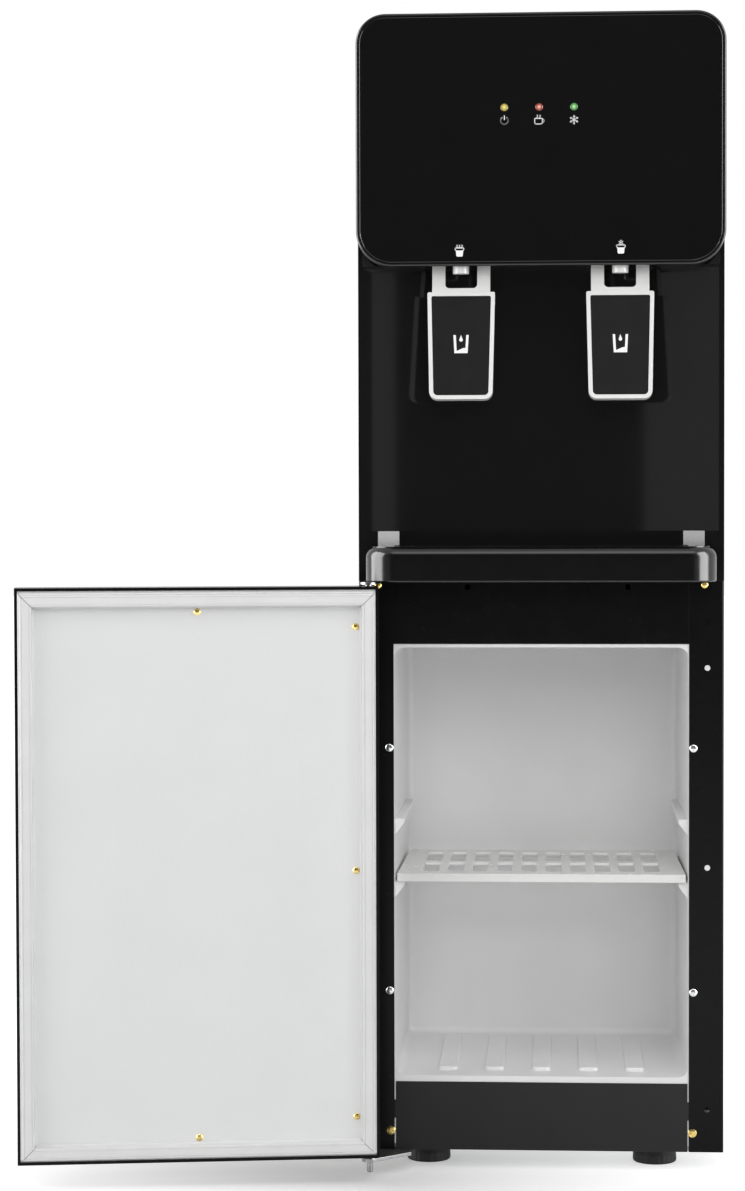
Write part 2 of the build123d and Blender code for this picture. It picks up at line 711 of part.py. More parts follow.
def door_screw_places():
    """Where the inner panel's screws go: down the hinge side and at both ends."""
    beside = GASKET_W + DOOR_SCREW_GAP + DOOR_SCREW_R
    x = -DOOR_SIDE + GASKET_MARGIN_SIDE + beside
    places = [(x, DOOR_Z + up) for up in DOOR_SCREW_UP] + [(x, DOOR_TOP - DOOR_SCREW_DROP)]
    inset = GASKET_MARGIN_END + beside
    return places + [(0, DOOR_Z + inset), (0, DOOR_TOP - inset)]


def door_screws():
    """Yellow zinc screws through the inner panel."""
    screws = []
    for x, z in door_screw_places():
        head = deep(x, z, DOOR_SCREW_R, DOOR_PANEL_Y, DOOR_PANEL_Y + HEAD_THICK)
        screws.append(head + deep(x, z, SHANK_R, DOOR_PANEL_Y - SHANK_L * 2, DOOR_PANEL_Y))
    return screws


def gasket_ring(extra, y_low, y_high):
    """One layer of the square seal frame, narrowed on both edges."""
    side = DOOR_SIDE - GASKET_MARGIN_SIDE - extra
    low = DOOR_Z + GASKET_MARGIN_END + extra
    high = DOOR_TOP - GASKET_MARGIN_END - extra
    width = GASKET_W - 2 * extra
    ring = block(-side, side, y_low, y_high, low, high)
    return ring - block(-side + width, side - width, y_low, y_high, low + width, high - width)


def door_gasket():
    """The soft white seal: a wide base and a narrower magnetic bulb."""
    step = DOOR_PANEL_Y + GASKET_BASE_T
    base = gasket_ring(0, DOOR_PANEL_Y, step)
    return base + gasket_ring(GASKET_BULB_IN, step, FRONT - GASKET_GAP)


def door_bushes():
    """Nylon bushes that turn on the hinge pins."""
    return [socket - upright(HINGE_X, HINGE_Y, PIN_R + BUSH_CLEARANCE, DOOR_Z, DOOR_TOP)
            for socket in bush_spaces()]


# ---- Hinge plates and pins

def hinge_outline(reach, back_y):
    """A plate seen from above: a round nose at the pin, wide at the body."""
    nose = Pos(HINGE_X, HINGE_Y) * Circle(PLATE_NOSE_R)
    low_x = HINGE_X - PLATE_NOSE_R
    root = panel(low_x, HINGE_X + reach, FRONT - PLATE_ROOT, back_y, PLATE_CORNER)
    return make_face(make_hull(nose.edges() + root.edges()).edges())


def hinge_plates():
    """The thick zinc plate under the base and the thin one under the ledge."""
    lower_plan = hinge_outline(PLATE_REACH, FRONT + PLATE_BACK)
    upper_plan = hinge_outline(TOP_PLATE_REACH, FRONT - 2 * HEAD_THICK)
    lower = floor_slab(lower_plan, UNDER_Z - PLATE_T, UNDER_Z)
    upper = floor_slab(upper_plan, LEDGE_Z - TOP_PLATE_T, LEDGE_Z)
    for x, inset in PLATE_SCREWS:
        lower -= upright(x, FRONT + inset, SHANK_R, 0, UNDER_Z)
    return [plate - upright(HINGE_X, HINGE_Y, PIN_R, 0, LEDGE_Z) for plate in (lower, upper)]


def hinge_pins():
    """The lower pin with its collar and long tip, and the upper pin."""
    lower = upright(HINGE_X, HINGE_Y, PIN_R, UNDER_Z - PLATE_T, DOOR_Z + BUSH_L * 0.8)
    lower += upright(HINGE_X, HINGE_Y, COLLAR_R, UNDER_Z, DOOR_Z - TOUCH)
    tip = upright(HINGE_X, HINGE_Y, PIN_TIP_R, PIN_TIP_Z, UNDER_Z - PLATE_T)
    lower += fillet(tip.edges().filter_by(GeomType.CIRCLE).sort_by(Axis.Z)[0], PIN_TIP_R * 0.5)
    upper = upright(HINGE_X, HINGE_Y, PIN_R, DOOR_TOP - BUSH_L * 0.8, LEDGE_Z)
    return [lower, upper]


# ---- Drip tray and its ledge

def ledge_outline(inset):
    """The ledge's pocket or tray in plan, from its front edge to its back."""
    half = LEDGE_W / 2 - inset
    back = FRONT + LEDGE_IN - inset
    return panel(-half, half, FRONT - LEDGE_OUT + inset, back, LEDGE_CORNER - inset)


def band_plan(forward):
    """The band behind the tray in plan, with its recessed face moved forward."""
    slant = (BAND_SPLAY ** 2 + BAND_RECESS ** 2) ** 0.5
    wide = LEDGE_W / 2 - BAND_CHEEK - forward * BAND_RECESS / (slant + BAND_SPLAY)
    narrow = wide - BAND_SPLAY
    near = FRONT - forward
    far = near + BAND_RECESS
    rear = FRONT + LEDGE_IN
    return make_face(Polyline((-INNER, near), (-wide, near), (-narrow, far), (narrow, far),
                              (wide, near), (INNER, near), (INNER, rear), (-INNER, rear), close=True))


def tray_ledge():
    """The black moulding between door and taps, with a pocket for the drip tray."""
    nose = floor_slab(ledge_outline(0), LEDGE_Z, LEDGE_TOP)
    nose = fillet(nose.faces().sort_by(Axis.Z)[-1].edges(), LEDGE_EDGE_R)
    nose = fillet(nose.faces().sort_by(Axis.Z)[0].edges(), LEDGE_WALL * 0.3)
    nose -= block(-SIDE, SIDE, FRONT, BACK, LEDGE_Z, LEDGE_TOP)
    root = block(-INNER, INNER, FRONT, FRONT + LEDGE_IN, LEDGE_Z, LEDGE_TOP)
    ledge = nose + root + floor_slab(band_plan(0), LEDGE_TOP, WALL_Z)
    pocket = tray_outline(-TRAY_GAP)
    ledge -= floor_slab(pocket, LEDGE_Z + LEDGE_FLOOR, LEDGE_TOP)
    return ledge - ledge_screw_spaces()


def ledge_screw_spaces():
    """Room in the ledge for the heads of the two screws under its edge."""
    z = LEDGE_Z - TOP_SCREW_DROP
    spaces = [deep(side * TOP_SCREW_X, z, TOP_SCREW_R + TOUCH, FRONT - 2 * HEAD_THICK, FRONT)
              for side in (-1, 1)]
    return spaces[0] + spaces[1]


def tray_outline(wall):
    """The tray in plan: it fits the pocket, and its back clears the band and the wall."""
    outline = ledge_outline(LEDGE_WALL + TRAY_GAP + wall) - band_plan(TRAY_CLEAR + wall)
    return outline - wall_face(TRAY_CLEAR + wall, WALL_SAG * 2)


def drip_tray():
    """The lift-out tray that catches drips under the grille."""
    low = LEDGE_Z + LEDGE_FLOOR + TOUCH
    top = LEDGE_TOP - TRAY_TOP_DROP
    tray = floor_slab(tray_outline(0), low, top)
    return tray - floor_slab(tray_outline(TRAY_WALL), low + TRAY_WALL, top)


def drip_grille():
    """The slotted plate that cups stand on."""
    low = LEDGE_TOP - TRAY_TOP_DROP
    grille = floor_slab(tray_outline(0), low, low + GRILLE_T)
    inset = LEDGE_WALL + TRAY_GAP + GRILLE_BORDER
    near = FRONT - LEDGE_OUT + inset
    for number in range(GRILLE_SLOTS):
        x = (number - (GRILLE_SLOTS - 1) / 2) * GRILLE_PITCH
        follow = WALL_Y + WALL_SAG * (1 - (x / (INNER - CHEEK_W)) ** 2) - TRAY_CLEAR
        far = min(FRONT + BAND_RECESS - TRAY_CLEAR, follow) - GRILLE_BORDER
        slot = panel(x - GRILLE_SLOT_W / 2, x + GRILLE_SLOT_W / 2, near, far,
                     GRILLE_SLOT_W * 0.49)
        grille -= floor_slab(slot, low, low + GRILLE_T)
    return grille


# ---- Dispensing wall

def wall_face(forward, back):
    """The hollowed wall in plan: flat cheeks and a shallow arc between them."""
    edge = INNER
    hollow = INNER - CHEEK_W
    near = WALL_Y - forward
    far = WALL_Y + back
    arc = ThreePointArc((-hollow, near), (0, near + WALL_SAG), (hollow, near))
    rear = ThreePointArc((hollow, far), (0, far + WALL_SAG), (-hollow, far))
    lines = [Line((-edge, near), (-hollow, near)), arc, Line((hollow, near), (edge, near)),
             Line((edge, near), (edge, far)), Line((edge, far), (hollow, far)), rear,
             Line((-hollow, far), (-edge, far)), Line((-edge, far), (-edge, near))]
    return make_face(lines)


def dispense_panel():
    """The glossy black wall behind the taps, bent back along both sides."""
    top = HEAD_Z + WALL_UP
    wall = floor_slab(wall_face(0, WALL_T), WALL_Z, top)
    for flange in both_sides(block(INNER - WALL_T, INNER, WALL_Y + WALL_T,
                                   WALL_Y + WALL_T + WALL_RETURN, WALL_Z, top)):
        wall += flange
    for side in (-1, 1):
        wall -= deep(side * TAP_X, TAP_Z, BARREL_R + BARREL_CLEARANCE, FRONT, BACK)
    return wall


# ---- Head

def head_outline(inset):
    """The head as seen from the front, its lower corners rounder than the upper."""
    half = SIDE - inset
    middle = Pos(0, (HEAD_Z + TOP_Z) / 2)
    shape = middle * Rectangle(2 * half, HEAD_H - 2 * inset)
    shape = fillet(shape.vertices().group_by(Axis.Y)[-1], HEAD_TOP_R - inset)
    return fillet(shape.vertices().group_by(Axis.Y)[0], HEAD_BOTTOM_R - inset)


def head_housing():
    """The satin black frame of the head, with a floor round both taps."""
    y_low = FRONT - HEAD_OUT
    rim = front_slab(head_outline(0), y_low, FRONT)
    rim = fillet(rim.faces().sort_by(Axis.Y)[0].edges(), HEAD_EDGE_R)
    rim -= front_slab(head_outline(HEAD_WALL), y_low, FRONT)
    seat = front_slab(head_outline(HEAD_WALL), FASCIA_BACK, FASCIA_BACK + SEAT_T)
    rim += seat - front_slab(head_outline(HEAD_WALL + SEAT_W), FASCIA_BACK, FASCIA_BACK + SEAT_T)
    reach = INNER - CHEEK_W
    floor = block(-reach, reach, FRONT, FRONT + WALL_SAG, HEAD_Z, HEAD_Z + HEAD_WALL)
    floor -= floor_slab(wall_face(TOUCH, WALL_SAG * 2), HEAD_Z, HEAD_Z + HEAD_WALL)
    housing = rim + floor
    for side in (-1, 1):
        slot = panel(side * TAP_X - TAP_SLOT_W / 2, side * TAP_X + TAP_SLOT_W / 2,
                     FRONT - TAP_SLOT_FRONT, FRONT + TAP_SLOT_BACK, HEAD_WALL)
        slot -= wall_face(TOUCH + TAP_SLOT_RIM, WALL_SAG * 2)
        housing -= floor_slab(slot, HEAD_Z, HEAD_Z + SEAT_W + HEAD_WALL)
    return housing


def led_places():
    """The three indicator lamps, from left to right."""
    return [LED_X + number * LED_PITCH for number in (-1, 0, 1)]


def head_fascia():
    """The glossy front plate, with posts for the lamp board behind it."""
    y_low = FRONT - HEAD_OUT
    plate = front_slab(head_outline(HEAD_WALL + FASCIA_GAP), y_low, FASCIA_BACK)
    plate = fillet(plate.faces().sort_by(Axis.Y)[0].edges(), FASCIA_EDGE_R)
    for x in led_places():
        plate -= deep(x, LED_Z, LED_R + LED_CLEARANCE, y_low, FASCIA_BACK)
    for side in (-1, 1):
        plate += deep(side * POST_X + LED_X, LED_Z, POST_R, FASCIA_BACK, BOARD_Y)
    return plate


def indicator_leds():
    """Round lenses for power, heating and cooling."""
    lenses = []
    for x in led_places():
        lens = deep(x, LED_Z, LED_R, FRONT - HEAD_OUT - LED_PROUD, BOARD_Y)
        rim = lens.edges().filter_by(GeomType.CIRCLE).sort_by(Axis.Y)[0]
        lenses.append(fillet(rim, LED_PROUD * 0.9))
    return lenses


def indicator_board():
    """The circuit board that carries the lamps."""
    return block(LED_X - BOARD_W / 2, LED_X + BOARD_W / 2, BOARD_Y, BOARD_Y + BOARD_T,
                 LED_Z - BOARD_H / 2, LED_Z + BOARD_H / 2)


def cover_outline(inset, low):
    """The top cover as seen from the front."""
    half = SIDE - inset
    top = TOP_Z - inset
    shape = Pos(0, (low + top) / 2) * Rectangle(2 * half, top - low)
    return fillet(shape.vertices().group_by(Axis.Y)[-1], HEAD_TOP_R - inset)


def top_cover():
    """The moulded lid over the tanks, open at the front towards the head."""
    cover = front_slab(cover_outline(0, COVER_Z), FRONT, BACK)
    return cover - front_slab(cover_outline(HEAD_WALL, COVER_Z), FRONT, BACK - HEAD_WALL)


# ---- Taps

def faucet(x):
    """A valve body with its nozzle, its shank through the wall and its lever pin."""
    low = HEAD_Z - NOZZLE_DOWN
    valve_z = TAP_Z + VALVE_UP - VALVE_H
    nut_y = WALL_Y + WALL_SAG + WALL_T
    body = upright(x, NOZZLE_Y, VALVE_R, valve_z, TAP_Z + VALVE_UP)
    body += upright(x, NOZZLE_Y, NOZZLE_R, low, valve_z)
    body += deep(x, TAP_Z, BARREL_R, NOZZLE_Y, FRONT + BARREL_BACK)
    body += deep(x, TAP_Z, SHOULDER_R, TAP_Y + ARM_END_R + TOUCH, FRONT + TAP_SLOT_BACK)
    body += deep(x, TAP_Z, TAP_NUT_R, nut_y, nut_y + TAP_NUT_T)
    body += across(TAP_Y, TAP_Z, TAP_PIN_R, x - ARM_OUT, x + ARM_OUT)
    body -= upright(x, NOZZLE_Y, STEM_R + BUSH_CLEARANCE, TAP_Z + VALVE_UP - STEM_IN - STEM_PLAY,
                    TAP_Z + VALVE_UP)
    body -= upright(x, NOZZLE_Y, WATERWAY_R, low, TAP_Z)
    return body - deep(x, TAP_Z, WATERWAY_R, NOZZLE_Y, FRONT + BARREL_BACK)


def faucet_bodies():
    """The hot and the cold valve, which are the same moulding."""
    return [faucet(-TAP_X), faucet(TAP_X)]


def valve_stem(x):
    """The plunger that a paddle's bridge pushes down."""
    top = TAP_Z + BRIDGE_UP - TOUCH
    stem = upright(x, NOZZLE_Y, STEM_R, TAP_Z + VALVE_UP - STEM_IN, top - STEM_TIP_H)
    return stem + upright(x, NOZZLE_Y, STEM_TIP_R, top - STEM_TIP_H, top)


def paddle_outline(inset):
    """A paddle's face, a little narrower at its foot, with round lower corners."""
    top_half = PADDLE_TOP_W / 2 - inset
    bottom_half = PADDLE_BOTTOM_W / 2 - inset
    face = make_face(Polyline((-top_half, -PADDLE_TOP - inset), (top_half, -PADDLE_TOP - inset),
                              (bottom_half, -PADDLE_BOTTOM + inset),
                              (-bottom_half, -PADDLE_BOTTOM + inset), close=True))
    face = fillet(face.vertices().group_by(Axis.Y)[-1], PADDLE_TOP_CORNER)
    return fillet(face.vertices().group_by(Axis.Y)[0], PADDLE_CORNER - inset)


def hang(piece, x):
    """A paddle piece, drawn straight down from its pivot, put in its resting tilt."""
    return Pos(x, TAP_Y, TAP_Z) * Rot(-PADDLE_TILT, 0, 0) * piece


def paddle_frame(x):
    """The white lever: two arms, a bridge over the valve stem and a bezel."""
    face_y = -PADDLE_T / 2
    bezel = front_slab(paddle_outline(0), face_y, PADDLE_T / 2)
    bezel -= front_slab(paddle_outline(BEZEL_W), face_y, face_y + INSERT_T + INSERT_SINK)
    arms = block(-ARM_OUT, ARM_OUT, -ARM_T / 2, ARM_T / 2, -PADDLE_TOP, 0)
    window = panel(-ARM_IN, ARM_IN, -WINDOW_DOWN, 2 * WINDOW_R, WINDOW_R)
    arms -= front_slab(window, -ARM_T / 2, ARM_T / 2)
    for side in (-1, 1):
        low, high = sorted((side * ARM_IN, side * ARM_OUT))
        arms += across(0, 0, ARM_END_R, low, high)
    lever = hang(bezel + arms, x)
    stem_y = NOZZLE_Y
    bridge_z = TAP_Z + BRIDGE_UP
    lever += block(x - ARM_OUT, x + ARM_OUT, stem_y - BRIDGE_HALF, stem_y + BRIDGE_HALF,
                   bridge_z, bridge_z + BRIDGE_T)
    for side in (-1, 1):
        low, high = sorted((x + side * ARM_IN, x + side * ARM_OUT))
        lever += block(low, high, stem_y - BRIDGE_HALF, TAP_Y + ARM_END_R, TAP_Z,
                       bridge_z + BRIDGE_T)
    return lever - across(TAP_Y, TAP_Z, TAP_PIN_R + BUSH_CLEARANCE, x - ARM_OUT, x + ARM_OUT)


def paddle_insert(x):
    """The black plate set into a paddle's bezel."""
    face_y = -PADDLE_T / 2 + INSERT_SINK
    plate = front_slab(paddle_outline(BEZEL_W + INSERT_GAP), face_y, face_y + INSERT_T)
    return hang(plate, x)


# ---- Tanks, heater and water tubes

def tank_deck():
    """The steel shelf across the body that carries both tanks."""
    deck = block(-INNER, INNER, FRONT + LEDGE_IN, PANEL_Y - SHEET, DECK_Z, DECK_Z + SHEET)
    rim = block(-INNER, INNER, FRONT + LEDGE_IN, FRONT + LEDGE_IN + SHEET, DECK_Z - PAN_RIM, DECK_Z)
    return deck + rim


def cold_space(radius, extra):
    """An upright round space on the cold tank's axis."""
    low = DECK_Z + SHEET + COLD_SHELL
    return upright(COLD_X, COLD_Y, radius, low - extra, low + COLD_H + extra)


def cold_tank():
    """The closed stainless cold tank."""
    return cold_space(COLD_R, 0) - cold_space(COLD_R - COLD_WALL, -COLD_WALL)


def cold_tank_insulation():
    """The moulded foam block round the cold tank and its coil."""
    half = COLD_BLOCK / 2
    low = DECK_Z + SHEET
    foam = block(COLD_X - half, COLD_X + half, COLD_Y - half, COLD_Y + half, low,
                 low + 2 * COLD_SHELL + COLD_H)
    return foam - cold_space(COLD_R + COIL_SPACE, 0)


def evaporator_coil():
    """The copper coil wound on the cold tank, one unbroken tube."""
    radius = COLD_R + COIL_TUBE_R + WIRE_GAP
    height = COIL_TURNS * COIL_PITCH
    path = Helix(COIL_PITCH, height, radius)
    coil = sweep(path.location_at(0) * Circle(COIL_TUBE_R), path=path)
    return Pos(COLD_X, COLD_Y, DECK_Z + SHEET + COLD_SHELL + COIL_UP) * coil


def hot_tank():
    """The closed stainless hot tank on its skirt."""
    low = DECK_Z + SHEET
    tank_z = low + HOT_SKIRT_H
    tank = upright(HOT_X, HOT_Y, HOT_R, tank_z, tank_z + HOT_H)
    tank -= upright(HOT_X, HOT_Y, HOT_R - COLD_WALL, tank_z + COLD_WALL, tank_z + HOT_H - COLD_WALL)
    skirt = upright(HOT_X, HOT_Y, HOT_SKIRT_R, low, tank_z)
    return tank + skirt - upright(HOT_X, HOT_Y, HOT_SKIRT_R - COLD_WALL * 2, low, tank_z)


def heater_band():
    """The band heater clamped round the hot tank."""
    low = DECK_Z + SHEET + HOT_SKIRT_H + BAND_UP
    band = upright(HOT_X, HOT_Y, HOT_R + HEATER_T, low, low + HEATER_H)
    return band - upright(HOT_X, HOT_Y, HOT_R, low, low + HEATER_H)


def thermostats():
    """Two disc thermostats on the hot tank, one to switch and one to trip."""
    low = DECK_Z + SHEET + HOT_SKIRT_H
    discs = []
    for up in THERMOSTAT_UP:
        disc = deep(HOT_X, low + up, THERMOSTAT_R, HOT_Y, HOT_Y + HOT_R + THERMOSTAT_T)
        discs.append(disc - upright(HOT_X, HOT_Y, HOT_R, low, low + HOT_H))
    return discs


def water_tubes():
    """Silicone tubes from the inlet to the cold tank and from the tanks to the taps."""
    cold_top = DECK_Z + SHEET + 2 * COLD_SHELL + COLD_H
    hot_top = DECK_Z + SHEET + HOT_SKIRT_H + HOT_H
    shank = FRONT + BARREL_BACK
    bend = HOSE_R * 3
    half = COLD_BLOCK / 2
    cold_run = deep(TAP_X, TAP_Z, HOSE_R, shank, COLD_Y - half)
    hot_run = tube([(-TAP_X, shank, TAP_Z), (-TAP_X, HOT_Y, TAP_Z),
                    (-TAP_X, HOT_Y, hot_top)], HOSE_R, bend)
    feed = tube([(INLET_X, PANEL_Y - SHEET - INLET_BORE_L, INLET_Z),
                 (INLET_X, COLD_Y, INLET_Z), (INLET_X, COLD_Y, cold_top + bend * 2),
                 (COLD_X, COLD_Y, cold_top + bend * 2), (COLD_X, COLD_Y, cold_top)], HOSE_R, bend)
    return [cold_run, hot_run, feed]


# ---- Back of the cooler

def rear_panel():
    """The steel back, open below for the compressor."""
    edge = INNER - BEND_R + SHEET
    back = block(-edge, edge, PANEL_Y - SHEET, PANEL_Y, BACK_PANEL_Z, COVER_Z)
    holes = [deep(INLET_X, INLET_Z, INLET_R, FRONT, BACK), deep(GLAND_X, GLAND_Z, GLAND_R, FRONT, BACK)]
    holes += [deep(x, SPIGOT_Z, SPIGOT_R, FRONT, BACK) for x in SPIGOT_X]
    holes += [block(x - SWITCH_W / 2, x + SWITCH_W / 2, FRONT, BACK, SWITCH_Z - SWITCH_H / 2,
                    SWITCH_Z + SWITCH_H / 2) for x in SWITCH_X]
    for hole in holes:
        back -= hole
    return back


def condenser_level(run):
    """The height of one horizontal run of the condenser."""
    return CONDENSER_Z + run * CONDENSER_PITCH


def condenser_tube():
    """The steel tube that snakes up the back."""
    y = BACK + CONDENSER_OUT
    half = CONDENSER_W / 2
    points = []
    for run in range(CONDENSER_RUNS):
        ends = (-half, half) if run % 2 == 0 else (half, -half)
        points += [(x, y, condenser_level(run)) for x in ends]
    return tube(points, CONDENSER_R, CONDENSER_PITCH * 0.49)


def condenser_wires():
    """Thin upright wires welded across the condenser's runs."""
    y = BACK + CONDENSER_OUT + CONDENSER_R + WIRE_R + WIRE_GAP
    low = condenser_level(0) - WIRE_PITCH
    high = condenser_level(CONDENSER_RUNS - 1) + WIRE_PITCH
    count = int((CONDENSER_W / 2 - WIRE_MARGIN) / WIRE_PITCH)
    return [upright(number * WIRE_PITCH, y, WIRE_R, low, high)
            for number in range(-count, count + 1)]


def condenser_brackets():
    """Four straps that hold the condenser off the side panels."""
    high_x = INNER
    low_x = CONDENSER_W / 2 - CONDENSER_PITCH
    straps = []
    for run in (1, CONDENSER_RUNS - 2):
        z = condenser_level(run)
        strap = block(low_x, high_x, BACK, BACK + CONDENSER_OUT - CONDENSER_R - WIRE_GAP,
                      z - BRACKET_H / 2, z + BRACKET_H / 2)
        straps += both_sides(strap)
    return straps


def compressor_middle():
    """The compressor's centre line, just behind the cabinet foam."""
    return FOAM_Y + COMPRESSOR_GAP + COMPRESSOR_W / 2


def compressor():
    """The sealed compressor, a domed oval shell on a base plate."""
    y = compressor_middle()
    base_z = UNDER_Z + SHEET + MOUNT_H
    dome_z = base_z + COMPRESSOR_BASE_T
    oval = Pos(COMPRESSOR_X, y) * RectangleRounded(COMPRESSOR_L, COMPRESSOR_W,
                                                   COMPRESSOR_W * 0.499)
    dome = floor_slab(oval, dome_z, dome_z + COMPRESSOR_H)
    dome = fillet(dome.faces().sort_by(Axis.Z)[-1].edges(), COMPRESSOR_EDGE_R)
    half = MOUNT_SPREAD + MOUNT_R
    base = panel(COMPRESSOR_X - half, COMPRESSOR_X + half, y - COMPRESSOR_W / 2,
                 y + COMPRESSOR_W / 2, MOUNT_R)
    return dome + floor_slab(base, base_z, dome_z)


def compressor_mounts():
    """Four rubber grommets between the base and the compressor."""
    y = compressor_middle()
    spread = COMPRESSOR_W / 2 - MOUNT_R
    low = UNDER_Z + SHEET
    return [upright(COMPRESSOR_X + side * MOUNT_SPREAD, y + end * spread, MOUNT_R, low,
                    low + MOUNT_H) for side in (-1, 1) for end in (-1, 1)]


def refrigerant_lines():
    """The discharge line to the condenser and the suction line from the coil."""
    y = compressor_middle()
    end_x = COMPRESSOR_X + COMPRESSOR_L / 2
    z = UNDER_Z + SHEET + MOUNT_H + COMPRESSOR_H / 2
    bend = LINE_R * 4
    far_x = end_x + LINE_R * 8
    riser = tube([(end_x, y, z), (far_x, y, z), (far_x, y, BACK_PANEL_Z - bend)], LINE_R, bend)
    start_x = COMPRESSOR_X - COMPRESSOR_L / 2
    near_x = start_x - LINE_R * 10
    suction = tube([(start_x, y, z), (near_x, y, z), (near_x, y, DECK_Z - bend)], LINE_R, bend)
    return [riser, suction]


def hexagon_nut(x, z, radius, y_low, y_high):
    """A hexagon along Y."""
    return front_slab(Pos(x, z) * RegularPolygon(radius, 6), y_low, y_high)


def inlet_fitting():
    """The push-fit water inlet in the back, for 1/4 inch tube."""
    inner_y = PANEL_Y - SHEET - INLET_BORE_L
    body = deep(INLET_X, INLET_Z, INLET_R, inner_y, BACK + INLET_R)
    body += hexagon_nut(INLET_X, INLET_Z, INLET_R * 1.6, PANEL_Y, PANEL_Y + SHEET * 5)
    return body - deep(INLET_X, INLET_Z, INLET_BORE_R, BACK + INLET_R - INLET_BORE_L,
                       BACK + INLET_R)


def mains_gland():
    """The plastic gland where the mains lead enters."""
    inner_y = PANEL_Y - SHEET - GLAND_R
    body = deep(GLAND_X, GLAND_Z, GLAND_R, inner_y, PANEL_Y)
    body += deep(GLAND_X, GLAND_Z, GLAND_R * 1.4, PANEL_Y, PANEL_Y + SHEET * 3)
    return body - deep(GLAND_X, GLAND_Z, GLAND_BORE_R, inner_y, PANEL_Y + SHEET * 3)


def drain_spigots():
    """Short drain tubes of both tanks, through the back panel."""
    return [deep(x, SPIGOT_Z, SPIGOT_R, PANEL_Y - SPIGOT_OUT, BACK + SPIGOT_OUT)
            - deep(x, SPIGOT_Z, SPIGOT_BORE_R, PANEL_Y - SPIGOT_OUT, BACK + SPIGOT_OUT)
            for x in SPIGOT_X]


def drain_caps():
    """Screw caps on the drain tubes."""
    high = BACK + SPIGOT_OUT
    caps = []
    for x in SPIGOT_X:
        cap = deep(x, SPIGOT_Z, CAP_R, high - CAP_L, high + SHEET * 2)
        cap -= deep(x, SPIGOT_Z, SPIGOT_R, high - CAP_L, high)
        caps.append(cap)
    return caps


def switch_housings():
    """Two rocker switch bodies, open at the back for the rockers."""
    deep_y = PANEL_Y - SWITCH_DEEP
    bodies = []
    for x in SWITCH_X:
        body = block(x - SWITCH_W / 2, x + SWITCH_W / 2, deep_y, PANEL_Y,
                     SWITCH_Z - SWITCH_H / 2, SWITCH_Z + SWITCH_H / 2)
        rim_x = SWITCH_W / 2 + SWITCH_RIM
        rim_z = SWITCH_H / 2 + SWITCH_RIM
        body += block(x - rim_x, x + rim_x, PANEL_Y, PANEL_Y + SHEET * 2, SWITCH_Z - rim_z,
                      SWITCH_Z + rim_z)
        half = ROCKER_W / 2 + TOUCH
        body -= across(PANEL_Y, SWITCH_Z, ROCKER_R + TOUCH, x - half, x + half)
        bodies.append(body)
    return bodies


def rocker(x):
    """A rocker with two flats, tipped to one side."""
    half = ROCKER_W / 2
    wheel = across(PANEL_Y, SWITCH_Z, ROCKER_R, x - half, x + half)
    cut_y = PANEL_Y + SHEET * 2
    cuts = []
    for side in (-1, 1):
        flat = block(x - SWITCH_W, x + SWITCH_W, 0, ROCKER_R * 2, -ROCKER_R * 2, ROCKER_R * 2)
        tilt = Rot(side * ROCKER_ANGLE / 2, 0, 0)
        cuts.append(Pos(0, cut_y, SWITCH_Z) * tilt * flat)
    level = Pos(0, -PANEL_Y, -SWITCH_Z) * (wheel - (cuts[0] + cuts[1]))
    return Pos(0, PANEL_Y, SWITCH_Z) * Rot(ROCKER_ANGLE / 2, 0, 0) * level


PARTS = {
    "base_pan": base_pan(),
    "levelling_feet": levelling_feet(),
    "foot_studs": foot_studs(),
    "side_panel_left": side_panel_left(),
    "side_panel_right": side_panel_right(),
    "rear_panel": rear_panel(),
    "top_cover": top_cover(),
    "kick_panel": kick_panel(),
    "cross_panel": cross_panel(),
    "dispense_panel": dispense_panel(),
    "tray_ledge": tray_ledge(),
    "head_housing": head_housing(),
    "head_fascia": head_fascia(),
    "indicator_leds": indicator_leds(),
    "indicator_board": indicator_board(),
    "cabinet_liner": cabinet_liner(),
    "cabinet_insulation": cabinet_insulation(),
    "cabinet_evaporator": cabinet_evaporator(),
    "hole_plugs": hole_plugs(),
    "liner_screws": liner_screws(),
    "panel_screws": panel_screws(),
    "hinge_plates": hinge_plates(),
    "hinge_pins": hinge_pins(),
    "tank_deck": tank_deck(),
    "cold_tank": cold_tank(),
    "cold_tank_insulation": cold_tank_insulation(),
    "evaporator_coil": evaporator_coil(),
    "hot_tank": hot_tank(),
    "heater_band": heater_band(),
    "thermostats": thermostats(),
    "water_tubes": water_tubes(),
    "faucet_bodies": faucet_bodies(),
    "compressor": compressor(),
    "compressor_mounts": compressor_mounts(),
    "refrigerant_lines": refrigerant_lines(),
    "condenser_tube": condenser_tube(),
    "condenser_wires": condenser_wires(),
    "condenser_brackets": condenser_brackets(),
    "inlet_fitting": inlet_fitting(),
    "mains_gland": mains_gland(),
    "drain_spigots": drain_spigots(),
    "drain_caps": drain_caps(),
    "switch_housings": switch_housings(),
    "heating_rocker": rocker(SWITCH_X[0]),
    "cooling_rocker": rocker(SWITCH_X[1]),
    "hot_paddle_frame": paddle_frame(-TAP_X),
    "hot_paddle_insert": paddle_insert(-TAP_X),
    "hot_valve_stem": valve_stem(-TAP_X),
    "cold_paddle_frame": paddle_frame(TAP_X),
    "cold_paddle_insert": paddle_insert(TAP_X),
    "cold_valve_stem": valve_stem(TAP_X),
    "shelf": shelf(),
    "drip_tray": drip_tray(),
    "drip_grille": drip_grille(),
    "door_outer_shell": swing(door_outer_shell()),
    "door_foam": swing(door_foam()),
    "door_inner_panel": swing(door_inner_panel()),
    "door_gasket": swing(door_gasket()),
    "door_bushes": [swing(bush) for bush in door_bushes()],
    "door_screws": [swing(screw) for screw in door_screws()],
}

